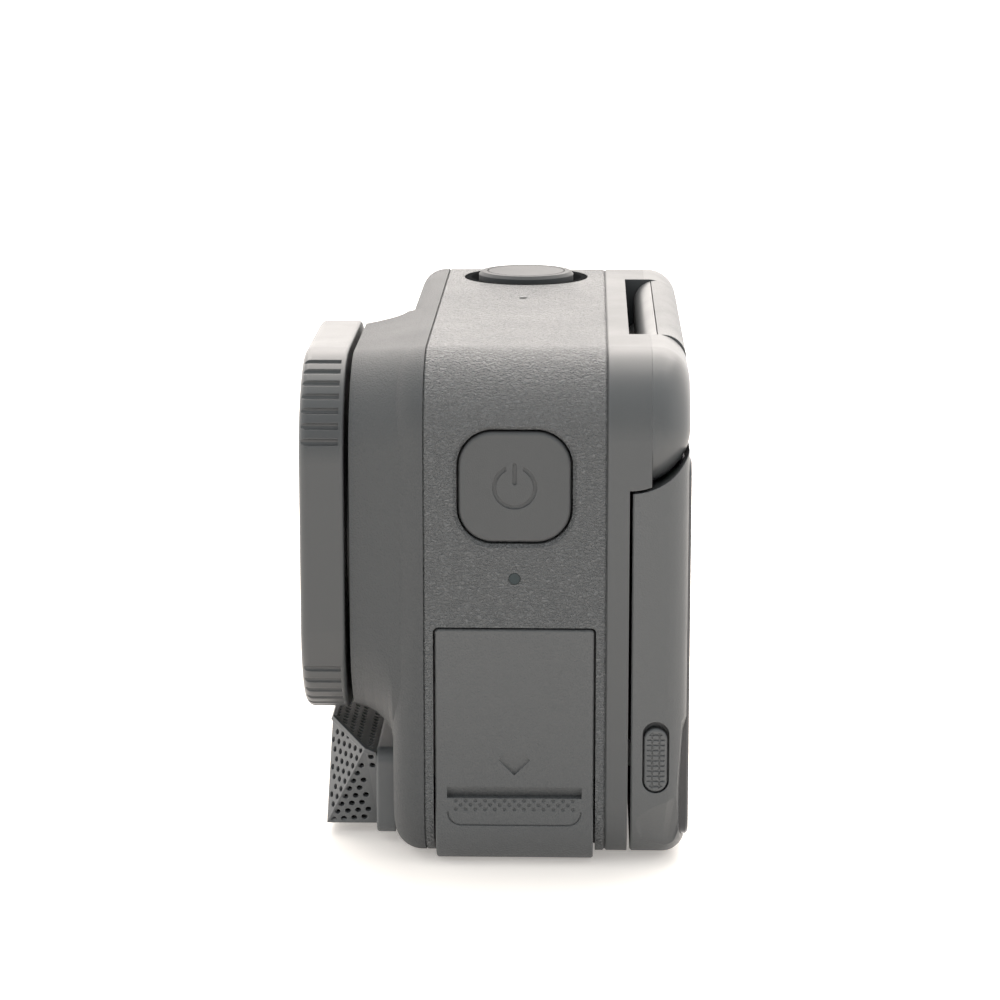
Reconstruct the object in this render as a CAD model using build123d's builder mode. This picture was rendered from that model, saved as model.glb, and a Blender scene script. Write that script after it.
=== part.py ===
"""Action camera with a flip screen: housing, lens, doors, buttons, screen and the parts inside.

Millimetres. X runs across the camera (the power button is on the +X side), Y through its depth
(the lens looks along -Y, the screen faces +Y) and Z up. The origin is on the flat underside,
on the centre plane of the middle frame.
"""

import os
from math import cos, radians, sin, sqrt

from build123d import *

os.makedirs("parts", exist_ok=True)

# ---------------------------------------------------------------- driving dimensions
# Body
WIDTH = 71.8
HEIGHT = 51.5
TOP_CORNER = 8.0
BOTTOM_CORNER = 7.0
FRAME_DEPTH = 18.0
FRONT_DEPTH = 3.2
FRONT_EDGE = 2.8
REAR_DEPTH = 2.25
WALL = 2.0
PLATE = 1.3
SEAM_BREAK = 0.2
PANEL_GAP = 0.2
FIT = 0.05

# Screws that hold the rear housing
SCREW_RADIUS = 0.8
SCREW_LENGTH = 9.0
SCREW_HEAD_RADIUS = 1.5
SCREW_HEAD_HEIGHT = 0.7
BOSS_RADIUS = 1.9

# Ears and hinge of the flip screen
SLOT_WIDTH = 40.0
EAR_DEPTH = 2.15
CAP_DEPTH = 3.8
EAR_HEIGHT = 13.0
EAR_ROUND = 5.9
CAP_ROUND = 3.3
HINGE_DROP = 2.5
BAR_RADIUS = 2.4
BAR_SPLIT = 0.5
HINGE_PIN_RADIUS = 1.0
HINGE_PIN_LENGTH = 13.0

# Flip screen
SCREEN_GAP = 0.3
SCREEN_DEPTH = 5.55
SCREEN_EDGE = 2.3
SCREEN_FOOT = 0.3
GLASS_MARGIN = 2.2
GLASS_THICKNESS = 1.1
GLASS_PROUD = 0.25
GLASS_CORNER = 3.0
PANEL_THICKNESS = 2.0
LATCH_WIDTH = 2.35
LATCH_LENGTH = 6.55
LATCH_FOOT = 7.95
LATCH_TRAVEL = 0.6
KNURL_PITCH = 0.53
KNURL_GROOVE = 0.16
KNURL_DEPTH = 0.12
SCOOP_DEPTH = 6.0
SCOOP_TAPER = 9.5
BEVEL_DEPTH = 2.6
BEVEL_TAPER = 64.0

# Lens block, lens and lens guard
LENS_X = 15.4
LENS_DROP = 19.3
BLOCK_DEPTH = 4.2
BLOCK_SIZE = 36.3
BLOCK_CORNER = 9.5
BLOCK_FLARE = 4.0
GUARD_GAP = 0.5
GUARD_SIZE = 37.0
GUARD_CORNER = 10.0
GUARD_DEPTH = 4.45
GUARD_OPENING = 14.2
GUARD_GRIPS = 7
BARREL_RADIUS = 11.6
BARREL_FLANGE = 13.5
COLLAR_WALL = 0.8
LENS_RADIUS = 10.6
LENS_SINK = 2.9
LENS_DOME = 2.4

# Wind guard over the front microphone
WIND_LEFT = -29.5
WIND_RIGHT = 28.5
WIND_FOOT = 0.9
WIND_TOP = 9.9
WIND_FLANGE = 1.9
WIND_DEPTH = 7.4
WIND_SETBACK = 6.2
WIND_RISE = 1.9
WIND_SHEET = 0.6
WIND_RIM = 0.4
WIND_LEAN = 0.5
WIND_SPLAY = 2.7
WIND_SHOULDER = 4.2
WIND_RAMP = 1.8

# Front display
WINDOW_WIDTH = 23.0
WINDOW_HEIGHT = 21.0
WINDOW_X = -20.5
WINDOW_DROP = 16.0

# Buttons, light and microphone
POWER_SIZE = 11.0
POWER_CORNER = 3.4
POWER_DROP = 12.7
POWER_TRAVEL = 0.45
LIGHT_RADIUS = 0.55
LIGHT_DROP = 21.85
SHUTTER_X = 13.8 - WIDTH / 2
SHUTTER_RADIUS = 5.4
SHUTTER_PROUD = 0.7
SHUTTER_TRAVEL = 0.5
RING_RADIUS = 7.0
MIC_X = -5.0
MIC_RADIUS = 0.5

# Connector door on the +X side
DOOR_WIDTH = 15.7
DOOR_TOP = 24.5
DOOR_THICKNESS = 1.7
DOOR_CORNER = 4.0
DOOR_LEDGE = 7.2
DOOR_TRAVEL = 1.2
LEDGE_LENGTH = 13.4
LEDGE_HEIGHT = 2.85
LEDGE_RECESS = 0.75
LEDGE_SLOPE = 1.2
DIMPLE_RADIUS = 0.2
DIMPLE_DEPTH = 0.12
DIMPLE_PITCH = 0.97
DIMPLE_ROW = 0.45
MARK_WIDTH = 3.1
MARK_FOOT = 9.6
MARK_DEPTH = 0.3
BAR_CORNER = 1.4
BAR_OUTLINE = 0.15
DOOR_PIN_RADIUS = 0.5
PORT_LENGTH = 9.0
PORT_WIDTH = 3.2
PORT_Z = 16.5

# Battery and its door on the -X side
BAY_WIDTH = 15.0
BAY_FOOT = 4.6
BAY_TOP = HEIGHT - 5.5
HATCH_THICKNESS = 1.8
HATCH_PIN_RADIUS = 0.4
BATTERY = (33.0, 12.6, HEIGHT - 19.5)
BATTERY_FOOT = 9.2
SLEEVE = 1.0

# Mounting plate under the camera
MOUNT_LENGTH = 30.0
MOUNT_WIDTH = 13.0
MOUNT_THICKNESS = 1.2
NOTCH = 1.6

# ---------------------------------------------------------------- places worked out from them
side = WIDTH / 2
frame_front = -FRAME_DEPTH / 2
frame_rear = FRAME_DEPTH / 2
front_face = frame_front - FRONT_DEPTH
rear_face = frame_rear + REAR_DEPTH
ear_seam = rear_face + EAR_DEPTH
cap_rear = ear_seam + CAP_DEPTH
ear_foot = HEIGHT - EAR_HEIGHT
screen_front = rear_face + SCREEN_GAP
screen_rear = screen_front + SCREEN_DEPTH
hinge_y = screen_rear - BAR_RADIUS
hinge_z = HEIGHT - HINGE_DROP
bar_half = SLOT_WIDTH / 2 - SCREEN_GAP
lens_z = HEIGHT - LENS_DROP
block_face = front_face - BLOCK_DEPTH
guard_rear = block_face - GUARD_GAP
guard_front = guard_rear - GUARD_DEPTH
power_z = HEIGHT - POWER_DROP
light_z = HEIGHT - LIGHT_DROP
window_z = HEIGHT - WINDOW_DROP
boss_places = [
    (side - 4.7, HEIGHT - 4.7),
    (4.7 - side, HEIGHT - 4.7),
    (side - 14.0, 3.8),
    (14.0 - side, 3.8),
]


def across(y):
    """Plane across the camera at depth y: local x is X, local y is Z, its normal looks forward."""
    return Plane.XZ.offset(-y)


def outline(inset=0.0, foot=0.0):
    """Outline of the body from the front, set in by inset all round and cut flat at foot."""
    with BuildSketch(mode=Mode.PRIVATE) as shape:
        with Locations((0, HEIGHT / 2)):
            Rectangle(WIDTH - 2 * inset, HEIGHT - 2 * inset)
        fillet(shape.vertices().group_by(Axis.Y)[-1], TOP_CORNER - inset)
        fillet(shape.vertices().group_by(Axis.Y)[0], BOTTOM_CORNER - inset)
        if foot:
            with Locations((0, foot - HEIGHT / 2)):
                Rectangle(2 * WIDTH, HEIGHT, mode=Mode.SUBTRACT)
    return shape.sketch


body_outline = outline()
cavity_outline = outline(WALL)
screen_outline = outline(0.0, SCREEN_FOOT)
lens_axis = Axis((LENS_X, 0, lens_z), (0, 1, 0))
lens_section = Plane(origin=(LENS_X, 0, lens_z), x_dir=(1, 0, 0), z_dir=(0, 0, 1))

# ---------------------------------------------------------------- middle frame
# A ring with the grained outside, open to the front and the rear, with the holes for the
# buttons, the light, the microphone, both doors and the mounting plate.
door_well = side - DOOR_CORNER - DOOR_CORNER - PANEL_GAP
hatch_axis_x = -side + HATCH_THICKNESS / 2
hatch_axis_z = BAY_FOOT + HATCH_THICKNESS / 2

with BuildPart() as mid_frame:
    with BuildSketch(across(frame_rear)):
        add(body_outline)
        add(cavity_outline, mode=Mode.SUBTRACT)
    extrude(amount=FRAME_DEPTH)
    front_rim = faces().sort_by(Axis.Y)[0].outer_wire().edges()
    rear_rim = faces().sort_by(Axis.Y)[-1].outer_wire().edges()
    chamfer(front_rim + rear_rim, SEAM_BREAK)
    with BuildSketch(across(frame_rear)):
        with Locations(*boss_places):
            Circle(BOSS_RADIUS)
    extrude(amount=SCREW_LENGTH + 1)
    with BuildSketch(across(frame_rear)):
        with Locations(*boss_places):
            Circle(SCREW_RADIUS + FIT)
    extrude(amount=SCREW_LENGTH, mode=Mode.SUBTRACT)
    # power button, with a bevelled rim
    with BuildSketch(Plane.YZ.offset(side)):
        with Locations((0, power_z)):
            hole = POWER_SIZE + 2 * PANEL_GAP
            RectangleRounded(hole, hole, POWER_CORNER + PANEL_GAP)
    extrude(amount=-WALL - 0.5, mode=Mode.SUBTRACT)
    rim = edges().filter_by_position(Axis.X, side - 0.01, side + 0.01)
    rim = rim.filter_by_position(Axis.Z, power_z - POWER_SIZE, power_z + POWER_SIZE)
    chamfer(rim.filter_by_position(Axis.Y, -POWER_SIZE * 0.6, POWER_SIZE * 0.6), 0.35)
    # status light
    with BuildSketch(Plane.YZ.offset(side)):
        with Locations((0, light_z)):
            Circle(LIGHT_RADIUS + FIT)
    extrude(amount=-WALL, mode=Mode.SUBTRACT)
    # well of the connector door, open at the side and underneath
    with BuildSketch(Plane.YZ.offset(door_well)):
        with Locations((0, (DOOR_TOP + PANEL_GAP - 5) / 2)):
            Rectangle(DOOR_WIDTH + 2 * PANEL_GAP, DOOR_TOP + PANEL_GAP + 5)
        fillet(vertices().group_by(Axis.Y)[-1], 0.5)
    extrude(amount=WIDTH, mode=Mode.SUBTRACT)
    # battery opening and the bore of its hinge pin
    with BuildSketch(Plane.YZ.offset(-side - 1)):
        with Locations((0, (BAY_TOP + BAY_FOOT) / 2)):
            Rectangle(BAY_WIDTH + 2 * PANEL_GAP, BAY_TOP - BAY_FOOT + 2 * PANEL_GAP)
        fillet(vertices().group_by(Axis.Y)[-1], 2.0)
    extrude(amount=WALL + 1.01, mode=Mode.SUBTRACT)
    with BuildSketch(Plane.XZ):
        with Locations((hatch_axis_x, hatch_axis_z)):
            Circle(HATCH_PIN_RADIUS + FIT)
    extrude(amount=frame_rear - 0.3, both=True, mode=Mode.SUBTRACT)
    # shutter cup and top microphone
    with BuildSketch(Plane.XY.offset(HEIGHT + 1)):
        with Locations((SHUTTER_X, 0)):
            Circle(RING_RADIUS + FIT)
        with Locations((MIC_X, 0)):
            Circle(MIC_RADIUS)
    extrude(amount=-WALL - 2, mode=Mode.SUBTRACT)
    # seat and screw holes of the mounting plate, and the speaker's slots
    with BuildSketch(Plane.XY):
        RectangleRounded(MOUNT_LENGTH + 2 * FIT, MOUNT_WIDTH + 2 * FIT, 2.0)
    extrude(amount=MOUNT_THICKNESS, mode=Mode.SUBTRACT)
    with BuildSketch(Plane.XY):
        with GridLocations(MOUNT_LENGTH - 5, MOUNT_WIDTH - 5, 2, 2):
            Circle(0.65)
        with Locations((-side + 11.5, -5.0)):
            with GridLocations(1.6, 1.6, 5, 1):
                SlotOverall(4.6, 0.8, rotation=90)
    extrude(amount=WALL, mode=Mode.SUBTRACT)
mid_frame.part.label = "mid_frame"
export_step(mid_frame.part, "parts/mid_frame.step")

# ---------------------------------------------------------------- front housing
# The front cover: a shallow tray with rounded front edges and the raised block that carries
# the lens. The block's lower and inner flanks flare into the front face, and its other two
# flanks lean in from the side and the top.
block_left = LENS_X - BLOCK_SIZE / 2
block_right = LENS_X + BLOCK_SIZE / 2
block_foot = lens_z - BLOCK_SIZE / 2
block_top = lens_z + BLOCK_SIZE / 2
recess_floor = block_face + 2.2
recess_radius = BARREL_FLANGE + COLLAR_WALL + 2 * 0.3


def block_section(depth):
    """Outline of the lens block at a depth behind its face, with flared lower and inner flanks."""
    lean = min(depth / (BLOCK_DEPTH + FRONT_DEPTH), 1.0)
    reach = min(depth * BLOCK_FLARE / BLOCK_DEPTH, BLOCK_FLARE * 0.999)
    flare = BLOCK_FLARE - sqrt(BLOCK_FLARE**2 - reach**2)
    left = block_left - flare
    foot = block_foot - flare
    right = block_right + (side - block_right) * lean
    top = block_top + (HEIGHT - block_top) * lean
    corner = BLOCK_CORNER + (TOP_CORNER - BLOCK_CORNER) * lean
    with BuildSketch(across(block_face + depth), mode=Mode.PRIVATE) as section:
        with Locations(((left + right) / 2, (foot + top) / 2)):
            RectangleRounded(right - left, top - foot, corner)
    return section.sketch


block_depths = [BLOCK_DEPTH * share for share in (0, 0.3, 0.55, 0.75, 0.9, 1.0)]
block_sections = [block_section(depth) for depth in block_depths]
block_sections.append(block_section(BLOCK_DEPTH + FRONT_DEPTH))

with BuildPart() as front_housing:
    with BuildSketch(across(frame_front)):
        add(body_outline)
    extrude(amount=FRONT_DEPTH)
    fillet(faces().sort_by(Axis.Y)[0].edges(), min(FRONT_EDGE, FRONT_DEPTH - 0.3))
    loft(block_sections, ruled=True)
    with BuildSketch(across(frame_front)):
        add(cavity_outline)
    extrude(amount=FRONT_DEPTH - PLATE, mode=Mode.SUBTRACT)
    with BuildSketch(across(frame_front)):
        with Locations((LENS_X, lens_z)):
            Circle(BARREL_RADIUS + 0.2)
    extrude(amount=FRONT_DEPTH + BLOCK_DEPTH, mode=Mode.SUBTRACT)
    with BuildSketch(across(recess_floor)):
        with Locations((LENS_X, lens_z)):
            Circle(recess_radius)
    extrude(amount=BLOCK_DEPTH, mode=Mode.SUBTRACT)
    # seat of the front window, with the hole for the small display behind it
    with BuildSketch(across(front_face + 1.0)):
        with Locations((WINDOW_X, window_z)):
            RectangleRounded(WINDOW_WIDTH + 2 * FIT, WINDOW_HEIGHT + 2 * FIT, 3.0)
    extrude(amount=2.0, mode=Mode.SUBTRACT)
    with BuildSketch(across(frame_front)):
        with Locations((WINDOW_X, window_z)):
            Rectangle(WINDOW_WIDTH - 4, WINDOW_HEIGHT - 6)
    extrude(amount=FRONT_DEPTH, mode=Mode.SUBTRACT)
    # sound hole of the front microphone
    with BuildSketch(across(frame_front)):
        with Locations((MIC_X - 9, WIND_TOP / 2)):
            Circle(0.8)
    extrude(amount=FRONT_DEPTH, mode=Mode.SUBTRACT)
front_housing.part.label = "front_housing"
export_step(front_housing.part, "parts/front_housing.step")

# ---------------------------------------------------------------- rear housing and ears
# The rear cover carries an ear at each end of its top edge. The ears are rounded underneath,
# so that the screen can swing out from below them, and each is closed by its own cap.
ear_arc_y = cap_rear - EAR_ROUND
ear_arc_z = ear_foot + EAR_ROUND
half_turn = sqrt(0.5)


def ear_profile(grow=0.0):
    """Side view of an ear, from the rear housing's face to the back of its cap."""
    with BuildSketch(mode=Mode.PRIVATE) as shape:
        reach = EAR_ROUND + grow
        top = HEIGHT + grow + 1
        with BuildLine():
            Line((frame_rear, top), (frame_rear, ear_foot - grow))
            Line((frame_rear, ear_foot - grow), (ear_arc_y, ear_foot - grow))
            middle = (ear_arc_y + reach * half_turn, ear_arc_z - reach * half_turn)
            ThreePointArc((ear_arc_y, ear_foot - grow), middle, (cap_rear + grow, ear_arc_z))
            Line((cap_rear + grow, ear_arc_z), (cap_rear + grow, top))
            Line((cap_rear + grow, top), (frame_rear, top))
        make_face()
    return shape.sketch


ear_shape = ear_profile()
with BuildPart() as rear_housing:
    with BuildSketch(across(ear_seam)):
        add(body_outline)
    extrude(amount=ear_seam - rear_face)
    with BuildSketch(Plane.YZ.offset(-WIDTH)):
        add(ear_shape)
    extrude(amount=2 * WIDTH, mode=Mode.INTERSECT)
    with BuildSketch(across(ear_seam + 1)):
        with Locations((0, HEIGHT / 2)):
            Rectangle(SLOT_WIDTH, 2 * HEIGHT)
    extrude(amount=ear_seam - rear_face + 1, mode=Mode.SUBTRACT)
    with BuildSketch(across(rear_face)):
        add(body_outline)
    extrude(amount=REAR_DEPTH)
    chamfer(faces().sort_by(Axis.Y)[0].outer_wire().edges(), SEAM_BREAK)
    with BuildSketch(across(frame_rear)):
        add(cavity_outline)
    extrude(amount=-(REAR_DEPTH - PLATE), mode=Mode.SUBTRACT)
    # room for the hinge pins in the ears
    with BuildSketch(Plane.YZ.offset(-WIDTH)):
        with Locations((hinge_y, hinge_z)):
            Circle(HINGE_PIN_RADIUS + FIT / 2)
    extrude(amount=2 * WIDTH, mode=Mode.SUBTRACT)
    # seats of the screws, and the catch of the screen's latch
    with BuildSketch(across(rear_face + EAR_DEPTH + 1)):
        with Locations(*boss_places):
            Circle(SCREW_HEAD_RADIUS + 0.1)
    extrude(amount=EAR_DEPTH + 1 + SCREW_HEAD_HEIGHT, mode=Mode.SUBTRACT)
    with BuildSketch(across(rear_face)):
        with Locations(*boss_places):
            Circle(SCREW_RADIUS + FIT)
    extrude(amount=REAR_DEPTH, mode=Mode.SUBTRACT)
    with BuildSketch(across(rear_face)):
        with Locations((side - 2.9, LATCH_FOOT + LATCH_LENGTH / 2)):
            Rectangle(1.6, 4.2)
    extrude(amount=REAR_DEPTH, mode=Mode.SUBTRACT)
rear_housing.part.label = "rear_housing"
export_step(rear_housing.part, "parts/rear_housing.step")

# Caps of the ears, which hold the hinge pins. Left and right are as seen facing the screen.
for cap_name, sign in (("left_ear_cap", 1), ("right_ear_cap", -1)):
    with BuildPart() as ear_cap:
        with BuildSketch(across(cap_rear)):
            add(body_outline)
            with Locations((sign * (SLOT_WIDTH / 2 + WIDTH), HEIGHT / 2)):
                Rectangle(2 * WIDTH, 2 * HEIGHT, mode=Mode.INTERSECT)
        extrude(amount=CAP_DEPTH)
        with BuildSketch(Plane.YZ.offset(-WIDTH)):
            add(ear_shape)
        extrude(amount=2 * WIDTH, mode=Mode.INTERSECT)
        top_rear = edges().filter_by_position(Axis.Y, cap_rear - 0.01, cap_rear + 0.01)
        top_rear = top_rear.filter_by_position(Axis.Z, ear_arc_z + 0.1, HEIGHT)
        top_rear = top_rear.filter_by(Axis.Z, reverse=True)
        fillet(top_rear, CAP_ROUND)
        with BuildSketch(Plane.YZ.offset(sign * (SLOT_WIDTH / 2 - 1))):
            with Locations((hinge_y, hinge_z)):
                Circle(HINGE_PIN_RADIUS + FIT / 2)
        extrude(amount=sign * (HINGE_PIN_LENGTH / 2 + 1.2), mode=Mode.SUBTRACT)
    ear_cap.part.label = cap_name
    export_step(ear_cap.part, f"parts/{cap_name}.step")

with BuildPart() as hinge_pins:
    for sign in (1, -1):
        with BuildSketch(Plane.YZ.offset(sign * (SLOT_WIDTH - HINGE_PIN_LENGTH) / 2)):
            with Locations((hinge_y, hinge_z)):
                Circle(HINGE_PIN_RADIUS)
        extrude(amount=sign * HINGE_PIN_LENGTH)
hinge_pins.part.label = "hinge_pins"
export_step(hinge_pins.part, "parts/hinge_pins.step")

with BuildPart() as housing_screws:
    head_back = rear_face - SCREW_HEAD_HEIGHT
    with BuildSketch(across(rear_face - 0.05)):
        with Locations(*boss_places):
            Circle(SCREW_HEAD_RADIUS)
    extrude(amount=SCREW_HEAD_HEIGHT - 0.05)
    with BuildSketch(across(head_back)):
        with Locations(*boss_places):
            Circle(SCREW_RADIUS)
    extrude(amount=SCREW_LENGTH - 0.5)
    with BuildSketch(across(rear_face)):
        with Locations(*boss_places):
            RegularPolygon(0.7, 6)
    extrude(amount=0.45, mode=Mode.SUBTRACT)
housing_screws.part.label = "housing_screws"
export_step(housing_screws.part, "parts/housing_screws.step")

# ---------------------------------------------------------------- flip screen
# The screen's housing hangs from a round bar between the ears and passes under them. The bar's
# front half is a separate cover. Glass and display sit in a stepped pocket in the rear face.
step_top = hinge_z - BAR_RADIUS
step_foot = step_top - (hinge_y - BAR_RADIUS - screen_front)
split_y = hinge_y - BAR_SPLIT
swing_clearance = ear_profile(SCREEN_GAP)
glass_foot = SCREEN_FOOT + GLASS_MARGIN
glass_half = side - GLASS_MARGIN
glass_shoulder = ear_foot + 2.7
glass_neck = bar_half - 1.3
glass_top = hinge_z - 1.5


def glass_outline(margin=0.0):
    """Stepped outline of the screen glass: wide below the ears and narrow between them."""
    with BuildSketch(mode=Mode.PRIVATE) as shape:
        with Locations((0, (glass_foot + glass_shoulder) / 2)):
            Rectangle(2 * (glass_half + margin), glass_shoulder - glass_foot + 2 * margin)
        with Locations((0, (glass_foot + glass_top) / 2)):
            Rectangle(2 * (glass_neck + margin), glass_top - glass_foot + 2 * margin)
        fillet(shape.vertices(), GLASS_CORNER - 1.0)
    return shape.sketch


with BuildPart() as screen_frame:
    with BuildSketch(across(screen_rear)):
        add(screen_outline)
    extrude(amount=SCREEN_DEPTH)
    fillet(faces().sort_by(Axis.Y)[-1].edges(), SCREEN_EDGE)
    chamfer(faces().sort_by(Axis.Y)[0].edges(), SEAM_BREAK)
    with BuildSketch(Plane.YZ.offset(-WIDTH)):
        with BuildLine():
            Line((screen_rear, hinge_z), (screen_rear, 0))
            Line((screen_rear, 0), (screen_front, 0))
            Line((screen_front, 0), (screen_front, step_foot))
            Line((screen_front, step_foot), (hinge_y - BAR_RADIUS, step_top))
            Line((hinge_y - BAR_RADIUS, step_top), (hinge_y - BAR_RADIUS, hinge_z))
            crown = (hinge_y, hinge_z + BAR_RADIUS)
            ThreePointArc((hinge_y - BAR_RADIUS, hinge_z), crown, (screen_rear, hinge_z))
        make_face()
    extrude(amount=2 * WIDTH, mode=Mode.INTERSECT)
    with BuildSketch(Plane.YZ.offset(bar_half)):
        add(swing_clearance)
    extrude(amount=WIDTH, mode=Mode.SUBTRACT)
    with BuildSketch(Plane.YZ.offset(-bar_half)):
        add(swing_clearance)
    extrude(amount=-WIDTH, mode=Mode.SUBTRACT)
    # space for the bar's front cover, and the bore of the hinge pins
    with BuildSketch(across(split_y)):
        with Locations((0, step_top + HEIGHT / 2)):
            Rectangle(WIDTH, HEIGHT)
    extrude(amount=SCREEN_DEPTH, mode=Mode.SUBTRACT)
    with BuildSketch(Plane.YZ.offset(-bar_half)):
        with Locations((hinge_y, hinge_z)):
            Circle(HINGE_PIN_RADIUS + FIT)
    extrude(amount=2 * bar_half, mode=Mode.SUBTRACT)
    # stepped pocket for the glass and the display
    with BuildSketch(across(screen_rear)):
        add(glass_outline(FIT))
    extrude(amount=GLASS_THICKNESS - GLASS_PROUD, mode=Mode.SUBTRACT)
    with BuildSketch(across(screen_rear)):
        with Locations((0, (glass_foot + glass_shoulder) / 2)):
            Rectangle(2 * glass_half - 4, glass_shoulder - glass_foot - 4)
    extrude(amount=GLASS_THICKNESS + PANEL_THICKNESS, mode=Mode.SUBTRACT)
    # finger scoop in the rear face beside the latch, and the bevel under it
    with BuildSketch(Plane.YZ.offset(side)):
        with BuildLine():
            Polyline(
                (screen_rear + 1.4, 19.5),
                (screen_rear - 0.6, 16.0),
                (screen_rear - 1.0, 8.4),
                (screen_rear - 1.0, -HEIGHT / 10),
                (screen_rear + WALL, -HEIGHT / 10),
                (screen_rear + WALL, 19.5),
                close=True,
            )
        make_face()
    extrude(amount=-SCOOP_DEPTH, taper=SCOOP_TAPER, mode=Mode.SUBTRACT)
    with BuildSketch(Plane.YZ.offset(side)):
        with BuildLine():
            Polyline(
                (screen_rear + 2 * WALL, 9.6),
                (screen_rear - 1.0, 8.2),
                (screen_rear - 1.9, 7.0),
                (screen_front - 2 * WALL, 3.8),
                (screen_front - 2 * WALL, -HEIGHT / 2),
                (screen_rear + 2 * WALL, -HEIGHT / 2),
                close=True,
            )
        make_face()
    extrude(amount=-BEVEL_DEPTH, taper=BEVEL_TAPER, mode=Mode.SUBTRACT)
    # slot of the latch, its cavity and the way out for its hook
    latch_z = LATCH_FOOT + LATCH_LENGTH / 2
    latch_y = (screen_front + screen_rear) / 2 - 0.3
    with BuildSketch(Plane.YZ.offset(side)):
        with Locations((latch_y, latch_z + LATCH_TRAVEL / 2)):
            SlotOverall(LATCH_LENGTH + LATCH_TRAVEL + 0.2, LATCH_WIDTH + 0.3, rotation=90)
    extrude(amount=-1.1 - FIT, mode=Mode.SUBTRACT)
    with BuildSketch(Plane.YZ.offset(side)):
        with Locations((latch_y, latch_z + LATCH_TRAVEL / 2)):
            Rectangle(1.4, 3.2 + LATCH_TRAVEL)
    extrude(amount=-3.9, mode=Mode.SUBTRACT)
    with BuildSketch(across(latch_y)):
        with Locations((side - 3.0, latch_z + LATCH_TRAVEL / 2)):
            Rectangle(1.8, 3.2 + LATCH_TRAVEL)
    extrude(amount=SCREEN_DEPTH, mode=Mode.SUBTRACT)
screen_frame.part.label = "screen_frame"
export_step(screen_frame.part, "parts/screen_frame.step")

with BuildPart() as hinge_cover:
    with BuildSketch(Plane.YZ.offset(-bar_half)):
        with Locations((hinge_y, hinge_z)):
            Circle(BAR_RADIUS)
        with Locations((hinge_y - BAR_RADIUS / 2, hinge_z - BAR_RADIUS / 2)):
            Rectangle(BAR_RADIUS, BAR_RADIUS)
        with Locations((split_y - 0.1 + BAR_RADIUS, hinge_z)):
            Rectangle(2 * BAR_RADIUS, 3 * BAR_RADIUS, mode=Mode.SUBTRACT)
        with Locations((hinge_y, step_top)):
            Rectangle(3 * BAR_RADIUS, 0.1, mode=Mode.SUBTRACT)
        with Locations((hinge_y, hinge_z)):
            Circle(HINGE_PIN_RADIUS + FIT, mode=Mode.SUBTRACT)
    extrude(amount=2 * bar_half)
hinge_cover.part.label = "hinge_cover"
export_step(hinge_cover.part, "parts/hinge_cover.step")

with BuildPart() as screen_glass:
    with BuildSketch(across(screen_rear + GLASS_PROUD)):
        add(glass_outline())
    extrude(amount=GLASS_THICKNESS)
    chamfer(faces().sort_by(Axis.Y)[-1].edges(), 0.2)
screen_glass.part.label = "screen_glass"
export_step(screen_glass.part, "parts/screen_glass.step")

panel_back = screen_rear + GLASS_PROUD - GLASS_THICKNESS
with BuildPart() as screen_panel:
    with BuildSketch(across(panel_back)):
        with Locations((0, (glass_foot + glass_shoulder) / 2)):
            Rectangle(2 * glass_half - 5, glass_shoulder - glass_foot - 5)
    extrude(amount=PANEL_THICKNESS)
screen_panel.part.label = "screen_panel"
export_step(screen_panel.part, "parts/screen_panel.step")

with BuildPart() as screen_latch:
    with BuildSketch(Plane.YZ.offset(side - 1.1)):
        with Locations((latch_y, latch_z)):
            SlotOverall(LATCH_LENGTH, LATCH_WIDTH, rotation=90)
    extrude(amount=1.1)
    fillet(faces().sort_by(Axis.X)[-1].edges(), 0.3)
    with BuildSketch(Plane.YZ.offset(side)):
        with Locations((latch_y, latch_z)):
            with GridLocations(0.72, 1, 2, 1):
                Rectangle(KNURL_GROOVE, LATCH_LENGTH)
            with GridLocations(1, KNURL_PITCH, 1, 11):
                Rectangle(LATCH_WIDTH, KNURL_GROOVE)
            SlotOverall(LATCH_LENGTH - 0.7, LATCH_WIDTH - 0.6, rotation=90, mode=Mode.INTERSECT)
    extrude(amount=-KNURL_DEPTH, mode=Mode.SUBTRACT)
    with BuildSketch(Plane.YZ.offset(side - 1.1)):
        with Locations((latch_y, latch_z)):
            Rectangle(0.8, 2.6)
    extrude(amount=-2.4)
    with BuildSketch(across(latch_y)):
        with Locations((side - 3.0, latch_z)):
            Rectangle(1.0, 2.6)
    extrude(amount=latch_y - rear_face + 0.6)
screen_latch.part.label = "screen_latch"
export_step(screen_latch.part, "parts/screen_latch.step")

# ---------------------------------------------------------------- lens
# Barrel in the block's bore with a stepped inside, the dome of the front element, the inner
# elements on the same axis, and the image sensor behind them.
barrel_rear = block_face + 10.6

with BuildPart() as lens_barrel:
    with BuildSketch(across(recess_floor)):
        with Locations((LENS_X, lens_z)):
            Circle(BARREL_FLANGE)
    extrude(amount=4.0)
    chamfer(faces().sort_by(Axis.Y)[0].edges(), 0.5)
    with BuildSketch(across(barrel_rear)):
        with Locations((LENS_X, lens_z)):
            Circle(BARREL_RADIUS)
    extrude(amount=barrel_rear - recess_floor)
    for depth, radius in ((LENS_SINK, LENS_RADIUS + FIT), (7.6, LENS_RADIUS - 1.6), (20.0, 6.0)):
        with BuildSketch(across(recess_floor - 4.0 + depth)):
            with Locations((LENS_X, lens_z)):
                Circle(radius)
        extrude(amount=depth, mode=Mode.SUBTRACT)
lens_barrel.part.label = "lens_barrel"
export_step(lens_barrel.part, "parts/lens_barrel.step")

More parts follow.
